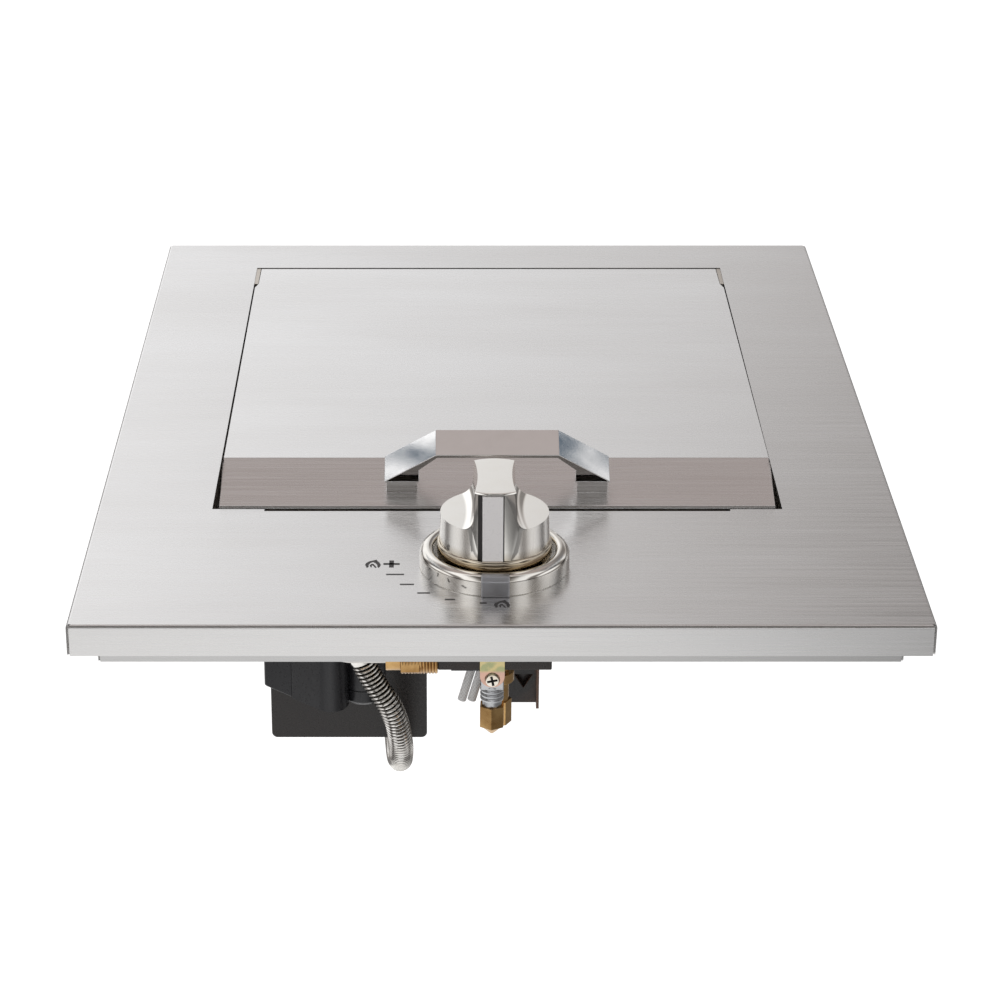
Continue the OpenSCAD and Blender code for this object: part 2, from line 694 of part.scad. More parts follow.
function hose_ring(s, r) = let (
    p = route_point(s), t = route_tangent(s), side = cross(t, [0, 1, 1]),
    u = side / norm(side), v = cross(t, u))
    [for (k = [0 : 7]) p + r * (cos(45 * k) * u + sin(45 * k) * v)];

rib_depth = 0.75;
cuff_l = 5;
valley_share = 0.35;
crest_share = 0.85;
bore_steps = 60;

module gas_hose() {
    ribbed_l = route_l - 2 * cuff_l;
    pitch = ribbed_l / hose_ribs;
    valley = hose_d / 2 - rib_depth;
    stations = concat([[0, hose_d / 2], [cuff_l, hose_d / 2]],
        [for (i = [0 : hose_ribs - 1]) each [
            [cuff_l + (i + valley_share) * pitch, valley],
            [cuff_l + (i + crest_share) * pitch, hose_d / 2]]],
        [[route_l, hose_d / 2]]);
    n = len(stations);
    outer = [for (s = stations) each hose_ring(s[0], s[1])];
    inner = [for (i = [0 : bore_steps]) each hose_ring(route_l * i / bore_steps, hose_bore / 2)];
    base = n * 8;
    skin = [for (i = [0 : n - 2]) for (k = [0 : 7]) let (a = i * 8 + k, b = i * 8 + (k + 1) % 8)
        each [[a, b, a + 8], [b, b + 8, a + 8]]];
    lining = [for (i = [0 : bore_steps - 1]) for (k = [0 : 7])
        let (a = base + i * 8 + k, b = base + i * 8 + (k + 1) % 8)
        each [[a, a + 8, b], [b, a + 8, b + 8]]];
    mouth = [for (k = [0 : 7]) let (j = (k + 1) % 8) each [[k, base + k, j], [j, base + k, base + j]]];
    far = (n - 1) * 8;
    far_in = base + bore_steps * 8;
    tail = [for (k = [0 : 7]) let (j = (k + 1) % 8)
        each [[far + k, far + j, far_in + k], [far + j, far_in + j, far_in + k]]];
    color("silver") at_front() polyhedron(concat(outer, inner), concat(skin, lining, mouth, tail));
}

// Flare nut on the hose's far end
end_nut_l = 18;
end_nut_af = 19;
end_bore_d = 15;
end_wall = 4;
module hose_end_nut() {
    last = len(hose_route) - 1;
    p = hose_route[last];
    d = p - hose_route[last - 1];
    tilt = atan(-d[2] / d[1]);
    color("goldenrod") at_front() translate(p) rotate([-90 - tilt, 0, 0]) difference() {
        hexagon(end_nut_af, end_nut_l);
        translate([0, 0, end_wall]) cylinder(d = end_bore_d, h = end_nut_l);
        translate([0, 0, -over]) cylinder(d = hose_bore, h = end_nut_l);
    }
}

// Strap, test port and bleed fitting below the manifold bar
strap_w = 10;
strap_t = 1.2;
strap_high = -24;
strap_low = -40.6;
port_x = knob_x - 1;
port_off = 1;
lug_w = 9;
lug_low = -42.5;
port_d = 8;
port_low = -51;
port_hex = 9.4;
port_hex_l = 9.2;
port_tip_l = 3.8;
strap_screw_z = -37.1;
strap_screw_d = 3;

module pipe_strap() {
    color("khaki") at_deck() difference() {
        union() {
            translate([port_x - strap_w / 2, bar_front - strap_t, strap_low + strap_w / 2])
                cube([strap_w, strap_t, strap_high - strap_low - strap_w / 2]);
            along_y(port_x, bar_front - strap_t, strap_low + strap_w / 2) cylinder(d = strap_w, h = strap_t);
        }
        along_y(port_x, bar_front - strap_t - over, strap_screw_z)
            cylinder(d = strap_screw_d + 2 * run_gap, h = strap_t + 2 * over);
    }
}

module strap_screw() {
    head_d = strap_screw_d * 2.1;
    head_t = strap_screw_d * 0.45;
    color("gold") at_deck() {
        along_y(port_x, bar_front - strap_t - head_t, strap_screw_z)
            cylinder(d1 = head_d * 0.8, d2 = head_d, h = head_t);
        along_y(port_x, bar_front - strap_t, strap_screw_z)
            cylinder(d = strap_screw_d, h = strap_t + lug_w / 2);
    }
}

module test_port() {
    color("silver") at_deck() difference() {
        union() {
            centred_box(port_x, bar_front + lug_w / 2, lug_low, lug_w, lug_w, bar_low - lug_low);
            translate([port_x, bar_front + lug_w / 2, port_low]) cylinder(d = port_d, h = lug_low - port_low);
        }
        along_y(port_x, bar_front - over, strap_screw_z) cylinder(d = strap_screw_d, h = lug_w / 2 + over);
    }
}

module test_port_cap() {
    color("goldenrod") at_deck() translate([port_x, bar_front + lug_w / 2, port_low - port_hex_l]) {
        hexagon(port_hex, port_hex_l);
        translate([0, 0, -port_tip_l]) cylinder(d1 = port_hex / 6, d2 = port_hex, h = port_tip_l);
    }
}

bleed_right = 2.4;
bleed_ahead = 12.6;
bleed_x = knob_x + bleed_right;
bleed_y = knob_y - bleed_ahead;
bleed_d = 7.2;
bleed_l = 20;
bleed_flange_d = 11.4;
bleed_flange_t = 4;
bleed_flange_drop = 11.4;
bleed_hex = 8.4;
bleed_hex_l = 10.6;

module bleed_fitting() {
    low = block_low - bleed_l;
    tip = bleed_d * 0.4;
    color("goldenrod") at_deck() translate([bleed_x, bleed_y, 0]) {
        translate([0, 0, low]) cylinder(d = bleed_d, h = bleed_l);
        translate([0, 0, block_low - bleed_flange_drop]) cylinder(d = bleed_flange_d, h = bleed_flange_t);
        translate([0, 0, low - bleed_hex_l]) hexagon(bleed_hex, bleed_hex_l);
        translate([0, 0, low - bleed_hex_l - tip]) cylinder(d1 = bleed_d / 4, d2 = bleed_d, h = tip);
    }
}

// Ignition switch under the valve block, with two sleeved leads
switch_w = 16;
switch_d = 7;
switch_h = 6;
sleeve_d = 3.5;
sleeve_pitch = 4;
sleeve_l = 15.4;
sleeve_lean = 15.5;
module ignition_switch() {
    right = bleed_x - bleed_d / 2 - seat_gap;
    color("dimgray") at_deck() translate([right - switch_w, bleed_y - switch_d / 2, block_low - switch_h])
        cube([switch_w, switch_d, switch_h]);
}

module lead_sleeves() {
    x0 = bleed_x - bleed_d / 2 - seat_gap - sleeve_d;
    color("whitesmoke") at_deck() for (i = [0, 1])
        translate([x0 - i * sleeve_pitch, bleed_y, block_low - switch_h]) intersection() {
            rotate([0, sleeve_lean, 0]) translate([0, 0, -sleeve_l])
                cylinder(d = sleeve_d, h = sleeve_l + sleeve_d);
            translate([-sleeve_l, -sleeve_d, -sleeve_l * 1.5])
                cube([2 * sleeve_l, 2 * sleeve_d, sleeve_l * 1.5]);
        }
}

// Bracket that carries the mixing tube's mouth
tube_bracket_ahead = 8.4;
tube_bracket_y = bowl_y0 - tube_bracket_ahead;
tube_bracket_t = 1.2;
tube_bracket_left = 18;
tab_right = 20;
tab_w = 13;
tab_x1 = knob_x + tab_right;
tab_x0 = tab_x1 - tab_w;
tab_low = -85.5;
tri_up = 13.6;
bracket_low = -44;
bracket_flange = 7;
tri_w = 8;
tri_h = 6.4;
module tube_bracket() {
    tri_x = (tab_x0 + tab_x1) / 2;
    tri_z = tab_low + tri_up;
    width = tube_bracket_left + tab_right;
    color("dimgray") at_deck() difference() {
        union() {
            translate([tab_x1 - width, tube_bracket_y - tube_bracket_t, bracket_low])
                cube([width, tube_bracket_t, rim_z - bowl_t - bracket_low]);
            translate([tab_x1 - width, tube_bracket_y - tube_bracket_t, rim_z - bowl_t - tube_bracket_t])
                cube([width, bracket_flange, tube_bracket_t]);
            translate([tab_x0, tube_bracket_y - tube_bracket_t, tab_low])
                cube([tab_x1 - tab_x0, tube_bracket_t, bracket_low - tab_low + over]);
            translate([tab_x1 - tube_bracket_t, tube_bracket_y - bracket_flange, tab_low])
                cube([tube_bracket_t, bracket_flange, bracket_low - tab_low]);
        }
        along_y(knob_x, tube_bracket_y - 2 * tube_bracket_t, tube_z)
            cylinder(d = tube_d + 2 * seat_gap, h = 3 * tube_bracket_t);
        translate([tri_x, tube_bracket_y + over, tri_z]) rotate([90, 0, 0])
            linear_extrude(tube_bracket_t + 2 * over) polygon([[-tri_w / 2, 0], [tri_w / 2, 0], [0, -tri_h]]);
    }
}

// Burner bowl: a stepped pan under the opening, its ledge carries the grate
module pan(x, y0, y1, low, high) {
    translate([-x, y0, low]) cube([2 * x, y1 - y0, high - low]);
}

module burner_bowl() {
    low_x = bowl_x - ledge_w;
    color("lightgray") at_deck() difference() {
        union() {
            pan(bowl_x + rim_w, bowl_y0 - rim_w, bowl_y1 + rim_w, rim_z - bowl_t, rim_z);
            pan(bowl_x + bowl_t, bowl_y0 - bowl_t, bowl_y1 + bowl_t, -ledge_h - bowl_t, rim_z);
            pan(low_x + bowl_t, bowl_y0 + ledge_w - bowl_t, bowl_y1 - ledge_w + bowl_t,
                -bowl_h - bowl_t, -ledge_h);
        }
        pan(bowl_x, bowl_y0, bowl_y1, -ledge_h, over);
        pan(low_x, bowl_y0 + ledge_w, bowl_y1 - ledge_w, -bowl_h, over);
        along_y(knob_x, bowl_wall_y - over, tube_z)
            cylinder(d = tube_d + 2 * seat_gap, h = bowl_t + 2 * over);
        for (a = [45, 225]) translate([0, burner_y, 0]) rotate(a)
            translate([leg_r, 0, -bowl_h - bowl_t - over])
            cylinder(d = leg_hole_d, h = bowl_t + 2 * over);
        for (s = [-1, 1]) along_y(plate_x + s * plate_hole_off, bowl_wall_y - over, plate_hole_z)
            cylinder(d = plate_screw_d, h = bowl_t + 2 * over);
    }
}

// Grate: a rod frame on the ledge, two cross rods and a row of long rods
grate_in = 9;
grate_x = bowl_x - grate_in;
grate_y0 = bowl_y0 + grate_in;
rod_top = -ledge_h + frame_rod_d / 2 + rod_d;
lid_reach = norm([hinge_in, skirt_h - hinge_drop]) + 2 * seat_gap;
grate_y1 = hinge_y - sqrt(pow(lid_reach, 2) - pow(rod_top + hinge_drop, 2));
cross_share = 0.2;
module rod_x(x, y, z, d) along_x(-x, y, z) cylinder(d = d, h = 2 * x, $fn = 24);
module rod_y(x, y0, y1, z, d) along_y(x, y0, z) cylinder(d = d, h = y1 - y0, $fn = 24);

module pot_grate() {
    frame_z = -ledge_h + frame_rod_d / 2;
    rod_z = frame_z + rod_d / 2;
    span = grate_y1 - grate_y0;
    rods = floor((grate_x - rod_d) / rod_pitch);
    color("dimgray") at_deck() {
        for (s = [-1, 1]) rod_y(s * grate_x, grate_y0, grate_y1, frame_z, frame_rod_d);
        for (y = [grate_y0, grate_y1]) rod_x(grate_x, y, frame_z, frame_rod_d);
        for (x = [-1, 1]) for (y = [grate_y0, grate_y1]) translate([x * grate_x, y, frame_z])
            sphere(d = frame_rod_d, $fn = 24);
        for (y = [grate_y0 + span * cross_share, grate_y1 - span * cross_share])
            rod_x(grate_x, y, frame_z, rod_d);
        for (i = [-rods : rods]) rod_y(i * rod_pitch, grate_y0, grate_y1, rod_z, rod_d);
    }
}

// Burner: cast chamber on four legs, with the mixing tube, ported head and cap
chamber_low = -44;
chamber_high = -22;
leg_r = 38;
leg_d = 10;
leg_screw_d = 4;
leg_hole_d = 5;
head_h = 4;
cap_h = 3;
tube_mouth_off = 25;
tube_mouth_y = knob_y + tube_mouth_off;
shutter_l = 13;
port_count = 40;

module burner_body() {
    wall = 3;
    floor_z = chamber_low + wall;
    tube_l = burner_y - tube_mouth_y - burner_d / 3;
    color("darkgray") at_deck() difference() {
        union() {
            translate([0, burner_y, chamber_low])
                cylinder(d = burner_d, h = chamber_high - chamber_low, $fn = fine_fn);
            along_y(knob_x, tube_mouth_y, tube_z) cylinder(d = tube_d, h = tube_l);
            for (a = [45 : 90 : 315]) translate([0, burner_y, 0]) rotate(a) translate([leg_r, 0, -bowl_h])
                cylinder(d = leg_d, h = bowl_h + chamber_low + over);
        }
        translate([0, burner_y, floor_z])
            cylinder(d = burner_d - 2 * wall, h = chamber_high - floor_z + over, $fn = fine_fn);
        along_y(knob_x, tube_mouth_y - over, tube_z) cylinder(d = tube_d - 2 * tube_t, h = tube_l);
        for (a = [45, 225]) translate([0, burner_y, 0]) rotate(a) translate([leg_r, 0, -bowl_h - over])
            cylinder(d = leg_screw_d, h = leg_d + over);
        for (a = [0, 180]) along_y(knob_x, tube_mouth_y + shutter_l / 2, tube_z) rotate(a)
            centred_box(tube_d / 2, 0, -shutter_l / 4, tube_d, tube_d / 2, shutter_l / 2);
    }
}

module air_shutter() {
    bore = tube_d + 2 * run_gap;
    skin = 1.2;
    color("silver") at_deck() along_y(knob_x, tube_mouth_y, tube_z) difference() {
        cylinder(d = bore + 2 * skin, h = shutter_l);
        translate([0, 0, -over]) cylinder(d = bore, h = shutter_l + 2 * over);
        for (a = [0, 180]) translate([0, 0, shutter_l / 2]) rotate(a)
            centred_box(tube_d / 2 + over, 0, -shutter_l / 4, tube_d, tube_d / 2, shutter_l / 2);
    }
}

module burner_head() {
    slot = 1.4;
    lip = 3;
    color("gray") at_deck() translate([0, burner_y, chamber_high]) difference() {
        cylinder(d = burner_d, h = head_h, $fn = fine_fn);
        translate([0, 0, -over]) cylinder(d = burner_d - 4 * lip, h = head_h + 2 * over, $fn = fine_fn);
        for (i = [0 : port_count - 1]) rotate(i * 360 / port_count)
            centred_box(burner_d / 2, 0, head_h / 2, 5 * lip, slot, head_h);
    }
}

module burner_cap() {
    brim = 1;
    color("dimgray") at_deck() translate([0, burner_y, chamber_high + head_h]) rotate_extrude($fn = fine_fn)
        polygon(concat([[0, 0], [burner_d / 2 - brim, 0]],
            arc(burner_d / 2 - cap_h, 0, cap_h - brim / 2, 20, 80, 4),
            [[burner_d / 3, cap_h], [burner_d / 4, cap_h * 0.8], [0, cap_h * 0.8]]));
}

module burner_screws() {
    head_d = leg_screw_d * 1.9;
    head_t = leg_screw_d / 2;
    color("silver") at_deck() for (a = [45, 225]) translate([0, burner_y, 0]) rotate(a)
        translate([leg_r, 0, -bowl_h - bowl_t]) {
            translate([0, 0, -head_t]) cylinder(d = head_d, h = head_t);
            cylinder(d = leg_screw_d, h = bowl_t + leg_d * 0.8);
        }
}

// Spark electrode beside the burner's head
spark_angle = -30;
spark_off = 7;
ceramic_d = 6;
ceramic_foot = 6;
spark_foot = 12;
electrode_t = 1.2;
electrode_w = 10;
electrode_z = chamber_low + 4;
module at_spark() at_deck() translate([0, burner_y, 0]) rotate(spark_angle) children();

module electrode_bracket() {
    w = electrode_w;
    color("silver") at_spark() difference() {
        union() {
            translate([burner_d / 2, -w / 2, electrode_z]) cube([spark_off + w / 2, w, electrode_t]);
            translate([burner_d / 2, -w / 2, electrode_z]) cube([electrode_t, w, w * 0.8]);
        }
        translate([burner_d / 2 + spark_off, 0, electrode_z - over])
            cylinder(d = ceramic_d, h = electrode_t + 2 * over);
    }
}

module electrode_ceramic() {
    low = chamber_low - ceramic_foot;
    high = chamber_high;
    color("white") at_spark() translate([burner_d / 2 + spark_off, 0, 0]) difference() {
        union() {
            translate([0, 0, low]) cylinder(d = ceramic_d, h = high - low);
            translate([0, 0, electrode_z + electrode_t]) cylinder(d = ceramic_d * 1.4, h = ceramic_d / 2);
        }
        translate([0, 0, low - over]) cylinder(d = ceramic_d / 3, h = high - low + 2 * over);
    }
}

module spark_electrode() {
    wire = ceramic_d / 3;
    low = chamber_low - spark_foot;
    high = chamber_high + head_h;
    gap = spark_off * 0.3;
    color("silver") at_spark() {
        translate([burner_d / 2 + spark_off, 0, low]) cylinder(d = wire, h = high - low);
        translate([burner_d / 2 + spark_off, 0, high]) sphere(d = wire, $fn = 24);
        translate([burner_d / 2 + gap, 0, high]) rotate([0, 90, 0]) cylinder(d = wire, h = spark_off - gap);
    }
}

// Igniter: bracket on the bowl's front wall, case with a battery tube, cover and battery cap
plate_t = 1.4;
plate_x = -64;
plate_high = -24;
plate_r = 2.5;
plate_hole_off = 24;
plate_hole_z = -54;
plate_screw_d = 4;
plate_back = bowl_wall_y;
plate_front = plate_back - plate_t;
case_a = [-100.3, plate_front - 6.2];
case_b = [-70.6, plate_front - 30];
case_high = -30;
case_r = 3;
near_r = 7;
tube_at = [-57, plate_front - 14];
battery_r = cap_d / 2;
tube_low = -78;
cap_low = -85.5;
cap_floor = 2;
neck_low = cap_low + cap_floor + seat_gap;
neck_d = cap_d - 3;
battery_low = neck_low;
battery_l = 50;
battery_d = 14.2;
seam_share = 0.42;

module igniter_bracket() {
    color("dimgray") at_deck() difference() {
        union() {
            translate([plate_x - plate_w / 2, plate_front, -plate_drop + plate_r])
                cube([plate_w, plate_t, plate_high + plate_drop - plate_r]);
            translate([plate_x - plate_w / 2 + plate_r, plate_front, -plate_drop])
                cube([plate_w - 2 * plate_r, plate_t, plate_r]);
            for (s = [-1, 1])
                along_y(plate_x + s * (plate_w / 2 - plate_r), plate_front, -plate_drop + plate_r)
                cylinder(r = plate_r, h = plate_t);
        }
        for (s = [-1, 1]) {
            along_y(plate_x + s * plate_hole_off, plate_front - over, plate_hole_z)
                cylinder(d = plate_screw_d, h = plate_t + 2 * over);
            along_y(plate_x + s * module_hole_off, plate_front - over, module_hole_z)
                cylinder(d = module_screw_d, h = plate_t + 2 * over);
            along_y(plate_x + s * module_hole_off, plate_back - module_head_t, module_hole_z)
                cylinder(d1 = module_screw_d, d2 = module_head_d, h = module_head_t);
        }
    }
}

module_screw_d = 3;
module_core_d = 2.6;
module_head_d = 5.4;
module_head_t = 1.2;
module_bite = 6;
module_hole_off = 12;
module_hole_z = -73;

module bracket_screws() {
    head_d = plate_screw_d * 1.8;
    head_t = plate_screw_d / 2;
    color("silver") at_deck() for (s = [-1, 1]) {
        along_y(plate_x + s * plate_hole_off, bowl_wall_y + bowl_t, plate_hole_z)
            cylinder(d = head_d, h = head_t);
        along_y(plate_x + s * plate_hole_off, plate_front, plate_hole_z)
            cylinder(d = plate_screw_d, h = plate_t + bowl_t);
    }
}

module case_plan() {
    back = plate_front - case_r;
    hull() {
        translate([case_a[0] + case_r, back]) circle(r = case_r, $fn = 24);
        translate([case_a[0] + case_r, case_a[1] + case_r / 2]) circle(r = case_r, $fn = 24);
        translate([case_b[0], case_b[1] + near_r]) circle(r = near_r, $fn = 32);
        translate([tube_at[0] - battery_r / 2, back]) circle(r = case_r, $fn = 24);
    }
}

module case_shape(low) {
    translate([0, 0, low]) linear_extrude(case_high - low) case_plan();
}

module seam_side(s) {
    seam_x = case_a[0] + (case_b[0] - case_a[0]) * seam_share;
    translate([s > 0 ? seam_x : seam_x - 8 * near_r, case_b[1] - over, -case_drop - over])
        cube([8 * near_r, 6 * near_r, case_drop + 2 * over]);
}

module igniter_case() {
    color("dimgray") at_deck() difference() {
        union() {
            difference() {
                intersection() {
                    case_shape(-case_drop);
                    seam_side(1);
                }
                translate([tube_at[0], tube_at[1], -case_drop - over])
                    cylinder(r = battery_r + seat_gap, h = case_drop + over + tube_low);
            }
            translate([tube_at[0], tube_at[1], tube_low]) cylinder(r = battery_r, h = case_high - tube_low);
            translate([tube_at[0], tube_at[1], neck_low]) cylinder(d = neck_d, h = tube_low - neck_low);
        }
        translate([tube_at[0], tube_at[1], neck_low - over])
            cylinder(d = battery_d + 4 * run_gap, h = battery_low + battery_l - neck_low + over);
        for (s = [-1, 1]) along_y(plate_x + s * module_hole_off, plate_front - module_bite, module_hole_z)
            cylinder(d = module_core_d, h = module_bite + over);
    }
}

module igniter_cover() {
    color("darkslategray") at_deck() intersection() {
        case_shape(-case_drop + seat_gap);
        seam_side(-1);
    }
}

module module_screws() {
    core_l = module_bite + plate_t - over;
    color("silver") at_deck() for (s = [-1, 1]) {
        along_y(plate_x + s * module_hole_off, plate_back - module_head_t, module_hole_z)
            cylinder(d1 = module_screw_d, d2 = module_head_d, h = module_head_t);
        along_y(plate_x + s * module_hole_off, plate_back - core_l, module_hole_z)
            cylinder(d = module_core_d, h = core_l);
    }
}

module battery() {
    color("slategray") at_deck() translate([tube_at[0], tube_at[1], battery_low])
        cylinder(d = battery_d, h = battery_l);
}

module battery_cap() {
    color("black") at_deck() translate([tube_at[0], tube_at[1], 0]) rotate_extrude($fn = 64)
        polygon([[0, cap_low], [battery_r - cap_floor, cap_low], [battery_r, cap_low + cap_floor],
            [battery_r, tube_low - seat_gap], [neck_d / 2 + run_gap, tube_low - seat_gap],
            [neck_d / 2 + run_gap, cap_low + cap_floor], [0, cap_low + cap_floor]]);
}

bends = [for (i = [2 : 2 : len(hose_route) - 3]) let (
    a = hose_route[i] - hose_route[i - 2], b = hose_route[i + 2] - hose_route[i],
    turn = acos(min(1, a * b / norm(a) / norm(b))))
    turn > 0 ? (norm(a) + norm(b)) / 2 / (turn * PI / 180) : route_l];
echo(hose_length = route_l, least_bend_radius = min(bends), rib_pitch = (route_l - 2 * cuff_l) / hose_ribs);
echo(spring_gap_to_itself = (washer_z - bonnet_z - spring_wire) / spring_turns - spring_wire);

top_plate();
lid();
handle();
handle_screws();
hinge_bracket_left();
hinge_bracket_right();
hinge_pin_left();
hinge_pin_right();
lid_bumpers();
knob();
knob_pointer();
valve_stem();
stem_washer();
stem_spring();
bezel();
bezel_window();
valve_screws();
valve_body();
gas_jet();
manifold_bar();
inlet_fitting();
flare_nut();
inlet_pipe();
hose_nut();
gas_hose();
hose_end_nut();
pipe_strap();
strap_screw();
test_port();
test_port_cap();
bleed_fitting();
ignition_switch();
lead_sleeves();
tube_bracket();
burner_bowl();
pot_grate();
burner_body();
burner_head();
burner_cap();
burner_screws();
air_shutter();
electrode_bracket();
electrode_ceramic();
spark_electrode();
igniter_bracket();
bracket_screws();
igniter_case();
igniter_cover();
module_screws();
battery();
battery_cap();
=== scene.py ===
"""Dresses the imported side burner.

Every CAD piece gets its finish, the pieces that show get finer copies with eased edges, and the dial
marks, the hose's ribs, the threads and the strap screw's recess are added. The camera stands where the
photograph was taken from.
"""
from __future__ import annotations

import json
import logging
import math
from dataclasses import dataclass, field
from enum import Enum
from typing import Callable, Iterable, Sequence

import bmesh
import bpy
from mathutils import Matrix, Vector

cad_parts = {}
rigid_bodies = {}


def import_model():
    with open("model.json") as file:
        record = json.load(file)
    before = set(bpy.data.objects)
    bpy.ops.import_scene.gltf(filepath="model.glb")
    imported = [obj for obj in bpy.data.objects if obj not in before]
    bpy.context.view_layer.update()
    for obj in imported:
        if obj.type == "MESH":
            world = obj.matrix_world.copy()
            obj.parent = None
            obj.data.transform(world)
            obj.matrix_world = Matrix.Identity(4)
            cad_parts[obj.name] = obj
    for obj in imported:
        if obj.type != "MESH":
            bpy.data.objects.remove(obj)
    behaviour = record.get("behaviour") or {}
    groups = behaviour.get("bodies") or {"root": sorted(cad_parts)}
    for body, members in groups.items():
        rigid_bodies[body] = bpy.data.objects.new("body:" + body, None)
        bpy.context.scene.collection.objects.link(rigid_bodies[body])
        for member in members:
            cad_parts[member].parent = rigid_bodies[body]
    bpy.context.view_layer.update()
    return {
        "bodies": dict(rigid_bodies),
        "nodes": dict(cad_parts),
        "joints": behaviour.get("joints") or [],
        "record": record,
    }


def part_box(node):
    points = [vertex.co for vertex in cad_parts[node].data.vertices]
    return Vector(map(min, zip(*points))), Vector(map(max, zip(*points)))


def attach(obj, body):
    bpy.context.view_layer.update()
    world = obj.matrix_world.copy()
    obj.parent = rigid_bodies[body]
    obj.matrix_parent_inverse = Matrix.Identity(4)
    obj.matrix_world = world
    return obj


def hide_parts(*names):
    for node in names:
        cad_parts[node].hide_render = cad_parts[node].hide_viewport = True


LOG = logging.getLogger("side_burner")
MM = 0.001
DECK_TOP = 13.0
WELD = 0.000002
FLAT_ANGLE = 0.1
SQUARE_ANGLE = 50
Colour = tuple[float, float, float]
Point = tuple[float, float, float]
Level = tuple[float, float]
Obj = bpy.types.Object
Socket = bpy.types.NodeSocket
Value = float | tuple | bpy.types.NodeSocket


def at(x: float, y: float, z: float) -> Vector:
    """Turns millimetres measured from the deck's surface into the frame's metres."""
    return Vector((x * MM, y * MM, (z + DECK_TOP) * MM))


def arc(across: float, high: float, radius: float, angles: Iterable[float]) -> list[Level]:
    """The points of an arc round a centre, at angles in degrees."""
    turns = [math.radians(angle) for angle in angles]
    return [(across + radius * math.cos(a), high + radius * math.sin(a)) for a in turns]


def aimed(axis: Sequence[float]) -> Matrix:
    """The turn that points the z axis along another axis."""
    return Vector((0, 0, 1)).rotation_difference(Vector(axis)).to_matrix().to_4x4()


# Workbench


